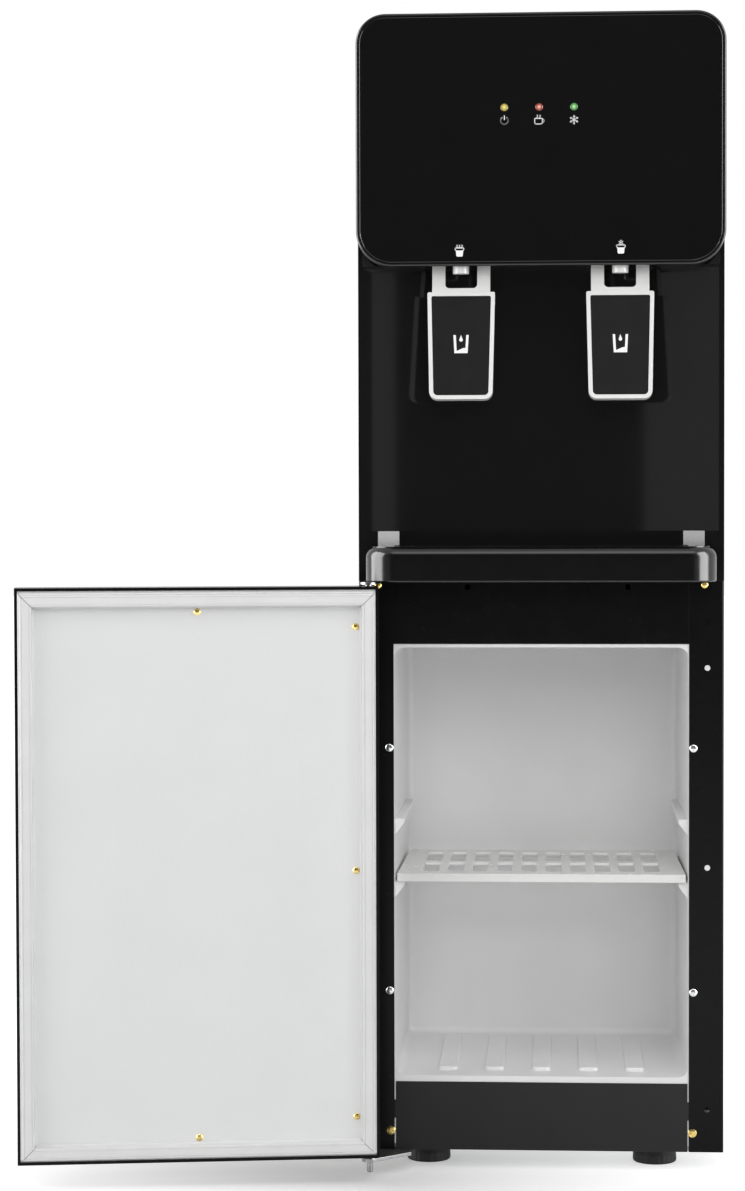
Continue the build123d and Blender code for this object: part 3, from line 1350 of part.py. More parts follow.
os.makedirs("parts", exist_ok=True)
for name, shape in PARTS.items():
    piece = Compound(children=list(shape)) if isinstance(shape, list) else shape
    export_step(piece, "parts/" + name + ".step")
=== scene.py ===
import json
from math import cos, pi, radians, sin, sqrt

import bmesh
import bpy
from mathutils import Matrix, Vector


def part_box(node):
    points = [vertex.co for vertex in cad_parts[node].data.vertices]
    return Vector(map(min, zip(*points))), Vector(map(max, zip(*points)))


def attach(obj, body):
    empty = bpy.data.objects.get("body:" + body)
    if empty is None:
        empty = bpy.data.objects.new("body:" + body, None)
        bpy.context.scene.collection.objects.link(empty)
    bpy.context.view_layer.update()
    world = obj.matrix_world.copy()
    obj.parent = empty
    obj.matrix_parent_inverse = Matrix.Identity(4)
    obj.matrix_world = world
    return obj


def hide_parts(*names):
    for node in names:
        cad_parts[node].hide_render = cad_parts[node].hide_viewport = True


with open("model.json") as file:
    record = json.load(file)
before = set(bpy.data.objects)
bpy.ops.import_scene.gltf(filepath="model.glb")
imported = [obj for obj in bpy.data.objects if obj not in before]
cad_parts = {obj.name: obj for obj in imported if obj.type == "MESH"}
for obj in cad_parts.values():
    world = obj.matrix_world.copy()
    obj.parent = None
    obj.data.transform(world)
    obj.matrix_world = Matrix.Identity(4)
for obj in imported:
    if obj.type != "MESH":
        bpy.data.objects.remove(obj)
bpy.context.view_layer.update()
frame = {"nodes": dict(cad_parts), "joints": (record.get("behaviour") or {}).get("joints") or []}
MM = 0.001

# ---- Camera, floor and light
# The whole cooler with its door open, seen level from a little right of centre
# through a long lens, on a pale floor between soft lamps. Two strips give only
# gloss, and a black flag between two grey walls is what the black gloss mirrors.

PHOTO_H = 1191
FOCAL_PX = 2926
FILM = 36.0                # in millimetres, as lenses are given
VIEW_FROM = Vector((0.0098, -2.6502, 0.5727))
YAW, PITCH, ROLL = radians(3.52), radians(1.85), radians(-0.15)

lens = bpy.data.cameras.new("camera")
lens.sensor_fit = "VERTICAL"
lens.sensor_height = FILM
lens.lens = FOCAL_PX * FILM / PHOTO_H
camera = bpy.data.objects.new("camera", lens)
forward = Vector((-sin(YAW) * cos(PITCH), cos(YAW) * cos(PITCH), -sin(PITCH)))
level = Vector((cos(YAW), sin(YAW), 0))
rightward = level * cos(ROLL) + level.cross(forward) * sin(ROLL)
turned = Matrix((rightward, rightward.cross(forward), -forward)).transposed()
camera.matrix_world = Matrix.Translation(VIEW_FROM) @ turned.to_4x4()
bpy.context.scene.collection.objects.link(camera)
bpy.context.scene.camera = camera
bpy.context.scene.view_settings.view_transform = "Standard"

COOLER_MIDDLE = Vector((0, 0, 0.55))


def softbox(name, azimuth, distance, height, width, tall, power, gives="both"):
    """A large soft lamp that looks at the middle of the cooler, for light, gloss or both."""
    lamp = bpy.data.lights.new(name, "AREA")
    lamp.shape = "RECTANGLE"
    lamp.size, lamp.size_y, lamp.energy = width, tall, power
    stand = bpy.data.objects.new(name, lamp)
    place = Vector((distance * sin(azimuth), -distance * cos(azimuth), height))
    facing = (COOLER_MIDDLE - place).to_track_quat("-Z", "Y").to_matrix().to_4x4()
    stand.matrix_world = Matrix.Translation(place) @ facing
    stand.visible_diffuse = gives != "gloss"
    stand.visible_glossy = gives != "light"
    bpy.context.scene.collection.objects.link(stand)


softbox("left_softbox", radians(-62), 1.9, 0.9, 1.9, 2.2, 16, "light")
softbox("right_softbox", radians(48), 1.9, 0.9, 0.8, 2.2, 7, "light")
softbox("front_softbox", radians(5), 2.2, 1.3, 1.4, 1.0, 13, "light")
softbox("top_softbox", radians(10), 1.6, 2.4, 1.6, 1.0, 9)
softbox("left_strip", radians(-74), 1.9, 0.9, 1.85, 2.2, 115, "gloss")
softbox("right_strip", radians(65), 1.9, 0.9, 1.25, 2.2, 88, "gloss")


def white_for_camera(tree, lit, white):
    """Joins two shaders by ray: what the camera, gloss and glass see is white, the rest is lit."""
    path = tree.nodes.new("ShaderNodeLightPath")
    seen = path.outputs["Is Camera Ray"]
    for other in ("Is Glossy Ray", "Is Transmission Ray"):
        either = tree.nodes.new("ShaderNodeMath")
        either.operation = "MAXIMUM"
        tree.links.new(seen, either.inputs[0])
        tree.links.new(path.outputs[other], either.inputs[1])
        seen = either.outputs[0]
    mix = tree.nodes.new("ShaderNodeMixShader")
    tree.links.new(seen, mix.inputs["Fac"])
    tree.links.new(lit.outputs[0], mix.inputs[1])
    tree.links.new(white.outputs[0], mix.inputs[2])
    return mix


AMBIENT = 0.34             # strength of the world's own light on the object
world = bpy.data.worlds.new("studio")
world.use_nodes = True
sky = world.node_tree
dim = sky.nodes["Background"]
dim.inputs["Color"].default_value = (1, 1, 1, 1)
dim.inputs["Strength"].default_value = AMBIENT
bright = sky.nodes.new("ShaderNodeBackground")
bright.inputs["Color"].default_value = (1, 1, 1, 1)
bright.inputs["Strength"].default_value = 1.0
sky.links.new(white_for_camera(sky, dim, bright).outputs[0], sky.nodes["World Output"].inputs["Surface"])
bpy.context.scene.world = world

# To the camera the floor glows white, but little near the feet and the door: this dimmer glow
# is painted shade, which deepens the shadow that they cast on the floor.
FLOOR_SPAN = 30.0
FLOOR_WHITE = 0.82
GLOW_IN_PAINTED_SHADE, GLOW_FAR = 0.13, 1.0
PAINTED_SHADE_MIDDLE = Vector((-0.12, -0.22, 0))
PAINTED_SHADE_REACH = Vector((0.50, 0.40, 1))
floor_paint = bpy.data.materials.new("floor_paint")
floor_paint.use_nodes = True
tree = floor_paint.node_tree
tree.nodes.remove(tree.nodes["Principled BSDF"])
matt = tree.nodes.new("ShaderNodeBsdfDiffuse")
matt.inputs["Color"].default_value = (FLOOR_WHITE, FLOOR_WHITE, FLOOR_WHITE, 1)
glow = tree.nodes.new("ShaderNodeEmission")
place = tree.nodes.new("ShaderNodeTexCoord")
mapping = tree.nodes.new("ShaderNodeMapping")
mapping.inputs["Location"].default_value = [-a / b for a, b in zip(PAINTED_SHADE_MIDDLE, PAINTED_SHADE_REACH)]
mapping.inputs["Scale"].default_value = [1 / reach for reach in PAINTED_SHADE_REACH]
# The glow fades from white far off to its dimmest at this middle: painted shade on the floor.
painted_shade_gradient = tree.nodes.new("ShaderNodeTexGradient")
painted_shade_gradient.gradient_type = "SPHERICAL"
fade = tree.nodes.new("ShaderNodeMapRange")
fade.inputs["To Min"].default_value = GLOW_FAR
fade.inputs["To Max"].default_value = GLOW_IN_PAINTED_SHADE
tree.links.new(place.outputs["Object"], mapping.inputs["Vector"])
tree.links.new(mapping.outputs["Vector"], painted_shade_gradient.inputs["Vector"])
tree.links.new(painted_shade_gradient.outputs["Fac"], fade.inputs["Value"])
tree.links.new(fade.outputs["Result"], glow.inputs["Strength"])
glowing = tree.nodes.new("ShaderNodeAddShader")
tree.links.new(matt.outputs[0], glowing.inputs[0])
tree.links.new(glow.outputs[0], glowing.inputs[1])
mixed = white_for_camera(tree, matt, glowing)
tree.links.new(mixed.outputs[0], tree.nodes["Material Output"].inputs["Surface"])
shape = bmesh.new()
bmesh.ops.create_grid(shape, x_segments=1, y_segments=1, size=FLOOR_SPAN / 2)
mesh = bpy.data.meshes.new("floor")
shape.to_mesh(mesh)
mesh.materials.append(floor_paint)
floor = bpy.data.objects.new("floor", mesh)
bpy.context.scene.collection.objects.link(floor)

# The black flag and the grey wall on each side of it, which only gloss sees.
FLAG_H, FLAG_Y = 4.0, -3.4
FLAG_STOPS = (-3.5, -1.22, 1.78, 3.5)
FLAG_GLOW = (0.36, 0.07, 0.38)
shape = bmesh.new()
columns = [[shape.verts.new((x, FLAG_Y, z)) for z in (0, FLAG_H)] for x in FLAG_STOPS]
mesh = bpy.data.meshes.new("flags")
for number, strength in enumerate(FLAG_GLOW):
    (a, b), (c, d) = columns[number:number + 2]
    shape.faces.new((a, c, d, b)).material_index = number
    cloth = bpy.data.materials.new("flag_%d" % number)
    cloth.use_nodes = True
    tree = cloth.node_tree
    tree.nodes.remove(tree.nodes["Principled BSDF"])
    sheen = tree.nodes.new("ShaderNodeEmission")
    sheen.inputs["Strength"].default_value = strength
    tree.links.new(sheen.outputs[0], tree.nodes["Material Output"].inputs["Surface"])
    mesh.materials.append(cloth)
shape.to_mesh(mesh)
flags = bpy.data.objects.new("flags", mesh)
bpy.context.scene.collection.objects.link(flags)
flags.visible_camera = flags.visible_diffuse = flags.visible_shadow = flags.visible_transmission = False

# ---- Side panels and back
# Two bent steel sheets with wide front columns, and a flat back between their
# returns: fine black powder coat, with bends that catch the light.

SHEET_EDGE = 0.25 * MM
COAT_BLACK = (0.0042, 0.0042, 0.0044)

# In every finish the colour clouds between two stops of their noise, the gloss varies in
# smaller spots than the colour, and the relief is a share of its grain deep.
CLOUD_STOPS = (0.3, 0.7)
SPOT_SHARE = 0.4
RELIEF_SHARE = 0.25
LEAST_ROUGH = 0.02


def finish(name, colour, rough, metal=0.0, cloud=0.08, cloud_size=0.03, grain=0.25, grain_size=0.0006,
           stretch=(1, 1, 1), level=0.5, wear=0.05):
    """A finish whose colour, gloss and fine relief vary with noises on the object's coordinates."""
    made = bpy.data.materials.new(name)
    made.use_nodes = True
    tree = made.node_tree
    shader = tree.nodes["Principled BSDF"]
    shader.inputs["Metallic"].default_value = metal
    shader.inputs["Specular IOR Level"].default_value = level
    place = tree.nodes.new("ShaderNodeTexCoord")
    mapping = tree.nodes.new("ShaderNodeMapping")
    mapping.inputs["Scale"].default_value = stretch
    tree.links.new(place.outputs["Object"], mapping.inputs["Vector"])

    def noise(size, detail):
        node = tree.nodes.new("ShaderNodeTexNoise")
        node.inputs["Scale"].default_value = 1 / size
        node.inputs["Detail"].default_value = detail
        tree.links.new(mapping.outputs["Vector"], node.inputs["Vector"])
        return node.outputs["Fac"]

    ramp = tree.nodes.new("ShaderNodeValToRGB")
    for stop, where, gain in zip(ramp.color_ramp.elements, CLOUD_STOPS, (1 - cloud, 1 + cloud)):
        stop.position = where
        stop.color = [channel * gain for channel in colour] + [1]
    tree.links.new(noise(cloud_size, 3), ramp.inputs["Fac"])
    tree.links.new(ramp.outputs["Color"], shader.inputs["Base Color"])
    gloss = tree.nodes.new("ShaderNodeMapRange")
    gloss.inputs["To Min"].default_value = max(rough - wear, LEAST_ROUGH)
    gloss.inputs["To Max"].default_value = rough + wear
    tree.links.new(noise(cloud_size * SPOT_SHARE, 4), gloss.inputs["Value"])
    tree.links.new(gloss.outputs["Result"], shader.inputs["Roughness"])
    if grain:
        bump = tree.nodes.new("ShaderNodeBump")
        bump.inputs["Strength"].default_value = grain
        bump.inputs["Distance"].default_value = grain_size * RELIEF_SHARE
        tree.links.new(noise(grain_size, 2), bump.inputs["Height"])
        tree.links.new(bump.outputs["Normal"], shader.inputs["Normal"])
    return made


WELD = 0.004 * MM          # points nearer than this are one
FLAT = radians(0.4)        # triangles that bend less than this are one face


def welded(node):
    """A copy of a node's packed triangles, welded, with its flat faces joined again."""
    shape = bmesh.new()
    shape.from_mesh(frame["nodes"][node].data)
    bmesh.ops.remove_doubles(shape, verts=shape.verts, dist=WELD)
    bmesh.ops.dissolve_limit(shape, angle_limit=FLAT, verts=shape.verts, edges=shape.edges)
    return shape


def rounded(shape, width, segments=2, sharp=35):
    """Rounds the edges of a shape that bend by more than a number of degrees."""
    edges = [edge for edge in shape.edges
             if len(edge.link_faces) == 2 and edge.calc_face_angle(0) > radians(sharp)]
    bmesh.ops.bevel(shape, geom=edges, offset=width, offset_type="OFFSET", segments=segments,
                    profile=0.5, affect="EDGES", clamp_overlap=True, material=-1)
    return shape


def piece(shape, name, paint, slot, body, *nodes, smooth=38):
    """Makes a shape a finished piece, which rides on a body and stands for some nodes.

    Faces that bend by less than smooth, in degrees, shade as one.
    """
    mesh = bpy.data.meshes.new(name)
    for face in shape.faces:
        face.smooth = True
    shape.to_mesh(mesh)
    shape.free()
    mesh.set_sharp_from_angle(angle=radians(smooth))
    mesh.materials.append(paint)
    thing = bpy.data.objects.new(name, mesh)
    bpy.context.scene.collection.objects.link(thing)
    evened = thing.modifiers.new("evened", "WEIGHTED_NORMAL")
    evened.keep_sharp = True
    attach(thing, body)
    if nodes:
        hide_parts(*nodes)
    return thing


def dress(paint, *nodes):
    """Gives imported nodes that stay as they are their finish."""
    for node in nodes:
        thing = frame["nodes"][node]
        if thing.material_slots:
            thing.material_slots[0].material = paint
        else:
            thing.data.materials.append(paint)


powder_coat = finish("powder_coat", COAT_BLACK, 0.26, cloud=0.10, grain=0.18, grain_size=0.0007,
                     level=0.10)
for side in ("left", "right"):
    node = "side_panel_" + side
    piece(rounded(welded(node), SHEET_EDGE), side + "_side_sheet", powder_coat, "black_steel", "cabinet",
          node)
piece(rounded(welded("rear_panel"), SHEET_EDGE), "back_sheet", powder_coat, "black_steel", "cabinet",
      "rear_panel")

# ---- Kick panel and cross panel
# Flat sheets screwed between the columns. The kick panel has a softer, greyer
# coat than the body, and stands clear of the columns except at its two tabs.

KICK_BLACK = (0.0095, 0.0095, 0.0098)
kick_coat = finish("kick_coat", KICK_BLACK, 0.48, cloud=0.08, grain=0.35, grain_size=0.0008, level=0.26)
piece(rounded(welded("kick_panel"), SHEET_EDGE), "kick_sheet", kick_coat, "kick_steel", "cabinet",
      "kick_panel")
piece(rounded(welded("cross_panel"), SHEET_EDGE), "cross_sheet", powder_coat, "black_steel", "cabinet",
      "cross_panel")

# ---- Base pan, foot studs and feet
# A galvanised pan on four levelling feet. Each foot is a flared rubber shoe
# with a fluted skirt, screwed in on a zinc stud with a lock nut.

# The foot's half profile and the height of its flutes, as shares of radius and height.
FOOT_PROFILE = ((0, 0), (0.94, 0), (0.98, 0.04), (1, 0.12), (0.985, 0.40), (0.955, 0.46), (0.93, 0.55),
                (0.89, 0.78), (0.875, 0.96), (0.855, 1), (0, 1))
FLUTE_FROM, FLUTE_TO = 0.10, 0.43
FLUTES = 24
FLUTE_DEEP = 0.5 * MM
FOOT_RING = FLUTES * 4
galvanised = finish("galvanised", (0.42, 0.43, 0.43), 0.38, metal=1.0, cloud=0.18, cloud_size=0.012,
                    grain=0.1, grain_size=0.004)
zinc = finish("zinc_plate", (0.62, 0.63, 0.63), 0.24, metal=1.0, cloud=0.10, cloud_size=0.006,
              grain=0.08, grain_size=0.0008)
foot_rubber = finish("foot_rubber", (0.010, 0.010, 0.010), 0.62, cloud=0.15, cloud_size=0.008,
                     grain=0.3, grain_size=0.0005, level=0.35)
piece(rounded(welded("base_pan"), SHEET_EDGE), "base_tray", galvanised, "galvanised", "cabinet",
      "base_pan")
dress(zinc, "foot_studs")


def solids(node):
    """The points of each separate solid of a node."""
    shape = bmesh.new()
    shape.from_mesh(frame["nodes"][node].data)
    bmesh.ops.remove_doubles(shape, verts=shape.verts, dist=WELD)
    shape.verts.index_update()
    met = [False] * len(shape.verts)
    found = []
    for start in shape.verts:
        grown = [] if met[start.index] else [start]
        for vert in grown:
            met[vert.index] = True
            for edge in vert.link_edges:
                other = edge.other_vert(vert)
                if not met[other.index]:
                    met[other.index] = True
                    grown.append(other)
        if grown:
            found.append([vert.co.copy() for vert in grown])
    shape.free()
    return sorted(found, key=lambda points: tuple(round(value, 4) for value in sum(points, Vector())))


def span(points):
    """The lowest and highest corners of some points."""
    return (Vector([min(point[i] for point in points) for i in range(3)]),
            Vector([max(point[i] for point in points) for i in range(3)]))


def turned_ring(shape, profile, centre, steps):
    """Spins a profile of radii and heights about an upright line, as one closed skin."""
    verts = [shape.verts.new(centre + Vector((radius, 0, height))) for radius, height in profile]
    edges = [shape.edges.new(pair) for pair in zip(verts, verts[1:])]
    bmesh.ops.spin(shape, geom=verts + edges, cent=centre, axis=(0, 0, 1), angle=2 * pi, steps=steps,
                   use_merge=True)
    bmesh.ops.remove_doubles(shape, verts=shape.verts, dist=WELD)


shape = bmesh.new()
for points in solids("levelling_feet"):
    low, high = span(points)
    radius = (high.x - low.x) / 2
    tall = high.z - low.z
    centre = Vector(((low.x + high.x) / 2, (low.y + high.y) / 2, 0))
    foot = bmesh.new()
    turned_ring(foot, [(radius * out, tall * up) for out, up in FOOT_PROFILE], centre, FOOT_RING)
    for vert in foot.verts:
        arm = vert.co - centre
        arm.z = 0
        if tall * FLUTE_FROM < vert.co.z < tall * FLUTE_TO:
            wave = 0.5 + 0.5 * cos(FLUTES * Vector((1, 0)).angle_signed(arm.to_2d()))
            vert.co -= arm.normalized() * FLUTE_DEEP * wave
    scratch = bpy.data.meshes.new("scratch")
    bmesh.ops.recalc_face_normals(foot, faces=foot.faces)
    foot.to_mesh(scratch)
    foot.free()
    shape.from_mesh(scratch)
    bpy.data.meshes.remove(scratch)
piece(shape, "rubber_feet", foot_rubber, "rubber_black", "cabinet", "levelling_feet", smooth=50)

# ---- Cabinet liner, its foam and the cooling plate behind it
# One vacuum-formed sheet of satin white plastic: soft corners, five low floor
# ribs and two pairs of moulded shelf runners. The foam behind it is coloured
# near black, painted shade for the dark that shows through the columns' open holes.

LINER_EDGE = 0.9 * MM
liner_white = finish("liner_white", (0.84, 0.84, 0.84), 0.38, cloud=0.015, cloud_size=0.05, grain=0.16,
                     grain_size=0.0022, wear=0.04)
piece(rounded(welded("cabinet_liner"), LINER_EDGE, sharp=50), "cabinet_lining", liner_white,
      "white_liner", "cabinet", "cabinet_liner")
# Near black foam: painted shade for what shows through the holes of the columns.
foam_painted_shade = finish("foam_painted_shade", (0.012, 0.012, 0.011), 0.85, cloud=0.12, cloud_size=0.01, grain=0.8,
                   grain_size=0.0015, level=0.2)
dress(foam_painted_shade, "cabinet_insulation")
cold_plate = finish("cold_plate", (0.72, 0.73, 0.74), 0.32, metal=1.0, stretch=(1, 1, 12),
                    cloud_size=0.01)
dress(cold_plate, "cabinet_evaporator")

# ---- Shelf
# An injection-moulded white grid that rests on the lower runners: two rows of
# holes with raised borders, and a rim all round that hangs down.

SHELF_EDGE = 0.45 * MM
moulding_white = finish("moulding_white", (0.80, 0.80, 0.79), 0.26, cloud=0.015, cloud_size=0.03,
                        grain=0.06, grain_size=0.0015, wear=0.04)
piece(rounded(welded("shelf"), SHELF_EDGE), "grid_shelf", moulding_white, "white_moulding",
      "storage_shelf", "shelf")

# ---- Hole plugs
# Small white studs, moulded of the same plastic as the shelf and pressed into
# the spare holes of the columns.

PLUG_EDGE = 0.075 * MM
piece(rounded(welded("hole_plugs"), PLUG_EDGE), "column_plugs", moulding_white, "white_moulding",
      "cabinet", "hole_plugs")

# ---- Screws
# Cross-slot screws with domed heads: bright zinc ones clamp the liner to the
# columns, yellow zinc ones hold the kick panel, the hinges and the door panel.

HEAD_THICK = 1.6 * MM
SLOT_DEEP = 0.8 * MM
SHANK_R = 1.7 * MM
SHANK_SIDES = 16
HEAD_CELLS = 11            # the head is a round grid of this many cells across
RIM_SHARE = 0.45           # thickness at the head's rim, as a share of that at its crown
SLOT_HALF = 1.3 / HEAD_CELLS
SLOT_REACH = 0.62          # both as shares of the head's radius
yellow_zinc = finish("yellow_zinc", (0.74, 0.56, 0.20), 0.26, metal=1.0, cloud=0.25, cloud_size=0.003,
                     grain=0.08, grain_size=0.0006)


def cross_head_screw(shape, points, axis):
    """Adds one screw in the place of a solid: a domed head with a cross slot, and a shank."""
    axis = Vector(axis)
    reach = [point.dot(axis) for point in points]
    crown, tip = max(reach), min(reach)
    middle = sum(points, Vector()) / len(points)
    middle -= axis * middle.dot(axis)
    radius = max((point - middle - axis * point.dot(axis)).length for point in points)
    seat = crown - HEAD_THICK
    facing = axis.to_track_quat("Z", "Y").to_matrix().to_4x4()
    seated = Matrix.Translation(middle + axis * seat) @ facing
    head = bmesh.ops.create_grid(shape, x_segments=HEAD_CELLS, y_segments=HEAD_CELLS, size=1.0)["verts"]
    faces = list(dict.fromkeys(face for vert in head for face in vert.link_faces))
    for vert in head:
        # This maps the square grid on a disc, which then rises to the crown.
        x, y = vert.co.x, vert.co.y
        vert.co.x, vert.co.y = x * sqrt(1 - y * y / 2), y * sqrt(1 - x * x / 2)
        rise = RIM_SHARE + (1 - RIM_SHARE) * sqrt(max(1 - vert.co.x ** 2 - vert.co.y ** 2, 0))
        vert.co = Vector((vert.co.x * radius, vert.co.y * radius, rise * HEAD_THICK))
    slot = []
    for face in faces:
        place = face.calc_center_median() / radius
        bar = min(abs(place.x), abs(place.y)) < SLOT_HALF
        if bar and max(abs(place.x), abs(place.y)) < SLOT_REACH:
            slot.append(face)
    rim = [edge for edge in dict.fromkeys(edge for vert in head for edge in vert.link_edges)
           if edge.is_boundary]
    sunk = bmesh.ops.extrude_face_region(shape, geom=slot)["geom"]
    dropped = [item for item in sunk if isinstance(item, bmesh.types.BMVert)]
    bmesh.ops.delete(shape, geom=[face for face in slot if face.is_valid], context="FACES")
    bmesh.ops.translate(shape, verts=dropped, vec=(0, 0, -SLOT_DEEP))
    skirt = bmesh.ops.extrude_edge_only(shape, edges=rim)["geom"]
    hem = [item for item in skirt if isinstance(item, bmesh.types.BMVert)]
    for vert in hem:
        vert.co.z = 0
    bmesh.ops.holes_fill(shape, edges=[item for item in skirt if isinstance(item, bmesh.types.BMEdge)],
                         sides=0)
    shank = bmesh.ops.create_cone(shape, cap_ends=True, segments=SHANK_SIDES, radius1=SHANK_R,
                                  radius2=SHANK_R, depth=seat - tip,
                                  matrix=Matrix.Translation((0, 0, (tip - seat) / 2)))["verts"]
    everything = dict.fromkeys([*head, *dropped, *hem, *shank])
    bmesh.ops.transform(shape, matrix=seated, verts=[vert for vert in everything if vert.is_valid])


shape = bmesh.new()
for points in solids("liner_screws"):
    cross_head_screw(shape, points, (0, -1, 0))
bmesh.ops.recalc_face_normals(shape, faces=shape.faces)
piece(shape, "liner_fixings", zinc, "zinc", "cabinet", "liner_screws", smooth=30)
shape = bmesh.new()
for points in solids("panel_screws"):
    low, high = span(points)
    driven_up = high.z - low.z < high.y - low.y
    cross_head_screw(shape, points, (0, 0, -1) if driven_up else (0, -1, 0))
bmesh.ops.recalc_face_normals(shape, faces=shape.faces)
piece(shape, "panel_fixings", yellow_zinc, "yellow_zinc", "cabinet", "panel_screws", smooth=30)

# ---- Hinge plates and pins
# A thick zinc plate under the base and a thin one under the ledge carry the
# door's pins. The lower pin has a collar and ends in a long domed tip.

PLATE_EDGE = 0.4 * MM
PIN_EDGE = 0.24 * MM
# A darker copy of the screws' zinc: painted shade that dims the bright white the plates and pins would
# mirror.
shaded_hinge_zinc = finish("shaded_hinge_zinc", (0.34, 0.34, 0.35), 0.30, metal=1.0, cloud=0.16, cloud_size=0.005,
                    grain=0.1, grain_size=0.0008)
piece(rounded(welded("hinge_plates"), PLATE_EDGE), "hinge_brackets", shaded_hinge_zinc, "zinc", "cabinet",
      "hinge_plates")
piece(rounded(welded("hinge_pins"), PIN_EDGE), "pivot_pins", shaded_hinge_zinc, "zinc", "cabinet",
      "hinge_pins")

# ---- Door shell, foam and inner panel
# A black steel pan filled with foam, closed by a white sheet that is let into
# it and held by yellow zinc screws. It turns on its pins in nylon bushes.

SHELL_EDGE = 0.4 * MM
LINING_EDGE = 0.24 * MM
hinge = next(joint for joint in frame["joints"] if joint["child"] == "door")
pivot = Vector(hinge["pos_m"])
closing = radians(-hinge["range_deg"][0])
shutting = Matrix.Translation(pivot) @ Matrix.Rotation(closing, 4, "Z") @ Matrix.Translation(-pivot)
opening = shutting.inverted()


def shut_box(node):
    """The box of a door node with the door shut."""
    return span([shutting @ vert.co for vert in frame["nodes"][node].data.vertices])


piece(rounded(welded("door_outer_shell"), SHELL_EDGE), "door_shell", powder_coat, "black_steel", "door",
      "door_outer_shell")
door_white = finish("door_white", (0.745, 0.75, 0.75), 0.42, cloud=0.012, cloud_size=0.06, grain=0.14,
                    grain_size=0.0030, wear=0.03)
piece(rounded(welded("door_inner_panel"), LINING_EDGE), "door_lining", door_white, "panel_white", "door",
      "door_inner_panel")
rigid_foam = finish("rigid_foam", (0.72, 0.64, 0.42), 0.85, cloud=0.12, cloud_size=0.01, grain=0.8,
                    grain_size=0.0015, level=0.2)
dress(rigid_foam, "door_foam")
nylon = finish("nylon", (0.74, 0.72, 0.66), 0.40, cloud=0.03, cloud_size=0.01, grain=0.1,
               grain_size=0.0008)
dress(nylon, "door_bushes")
shape = bmesh.new()
outward = (opening.to_3x3() @ Vector((0, 1, 0))).normalized()
for points in solids("door_screws"):
    cross_head_screw(shape, points, outward)
bmesh.ops.recalc_face_normals(shape, faces=shape.faces)
piece(shape, "door_fixings", yellow_zinc, "yellow_zinc", "door", "door_screws", smooth=30)

# ---- Door seal
# Four lengths of soft white magnetic seal, mitred and welded at the corners:
# a wide foot, a narrower bulb with a fine groove along each side of its face.
# It is drawn on the shut door and then swung open with it.

SEAL_W = 13.5 * MM
SEAL_FOOT = 3.0 * MM
BULB_IN = 1.6 * MM
SEAL_GROOVE = 0.45 * MM
GROOVE_IN = 3.4 * MM
SEAL_ROUND = 0.7 * MM
MITRE_GAP = 0.3 * MM
seal_white = finish("seal_white", (0.73, 0.73, 0.73), 0.48, cloud=0.02, cloud_size=0.02, grain=0.10,
                    grain_size=0.0008, level=0.4)
low, high = shut_box("door_gasket")
base, face = low.y, high.y
section = [(0, 0), (0, SEAL_FOOT - SEAL_ROUND), (SEAL_ROUND, SEAL_FOOT), (BULB_IN, SEAL_FOOT),
           (BULB_IN, face - base - SEAL_ROUND), (BULB_IN + SEAL_ROUND, face - base),
           (GROOVE_IN, face - base), (GROOVE_IN + SEAL_GROOVE / 2, face - base - SEAL_GROOVE),
           (GROOVE_IN + SEAL_GROOVE, face - base)]
section += [(SEAL_W - across, height) for across, height in reversed(section)]
middle_x, middle_z = (low.x + high.x) / 2, (low.z + high.z) / 2
half_x, half_z = (high.x - low.x) / 2, (high.z - low.z) / 2
shape = bmesh.new()
for along, reach, across in (("x", half_x, half_z), ("z", half_z, half_x)):
    for side in (-1, 1):
        ends = []
        for end in (-1, 1):
            loop = []
            for inset, height in section:
                run = end * (reach - inset - MITRE_GAP)
                off = side * (across - inset)
                x, z = (run, off) if along == "x" else (off, run)
                loop.append(shape.verts.new((middle_x + x, base + height, middle_z + z)))
            edges = [shape.edges.new(pair) for pair in zip(loop, loop[1:] + loop[:1])]
            shape.faces.new(loop)
            ends += edges
        bmesh.ops.bridge_loops(shape, edges=ends)
bmesh.ops.recalc_face_normals(shape, faces=shape.faces)
bmesh.ops.transform(shape, matrix=opening, verts=shape.verts)
piece(shape, "door_seal", seal_white, "seal_white", "door", "door_gasket", smooth=50)

# ---- Drip tray ledge, tray and grille
# A satin black moulding that stands out between door and taps, round at both
# ends, with a recessed band behind it, and a pocket for the lift-out tray and
# its slotted grille.

LEDGE_EDGE = 0.5 * MM
GRILLE_EDGE = 0.3 * MM
SPLAY_BEND = 25            # in degrees, less than the bend at the band's splayed ends
ledge_black = finish("ledge_black", (0.0030, 0.0030, 0.0032), 0.18, cloud=0.08, grain=0.08,
                     grain_size=0.0009, wear=0.03)
piece(rounded(welded("tray_ledge"), LEDGE_EDGE, sharp=SPLAY_BEND), "tray_shelf", ledge_black,
      "black_satin", "cabinet", "tray_ledge", smooth=SPLAY_BEND)
piece(rounded(welded("drip_tray"), LEDGE_EDGE), "drip_catcher", ledge_black, "black_satin", "tray",
      "drip_tray")
piece(rounded(welded("drip_grille"), GRILLE_EDGE), "slotted_grille", ledge_black, "black_satin", "tray",
      "drip_grille")

# ---- Dispensing wall
# The glossy black panel behind the taps, hollowed in one arc between narrow
# cheeks, so that it mirrors the paddles a little outwards.

WALL_BLACK = (0.0065, 0.0065, 0.0070)
wall_gloss = finish("wall_gloss", WALL_BLACK, 0.09, cloud=0.06, grain=0.0, wear=0.02)
piece(rounded(welded("dispense_panel"), SHEET_EDGE), "tap_wall", wall_gloss, "black_gloss", "cabinet",
      "dispense_panel", smooth=25)

# ---- Head housing and fascia
# The head is a satin frame with rounded corners, and a glossy plate is let
# into its front with a thin rim left showing all round.

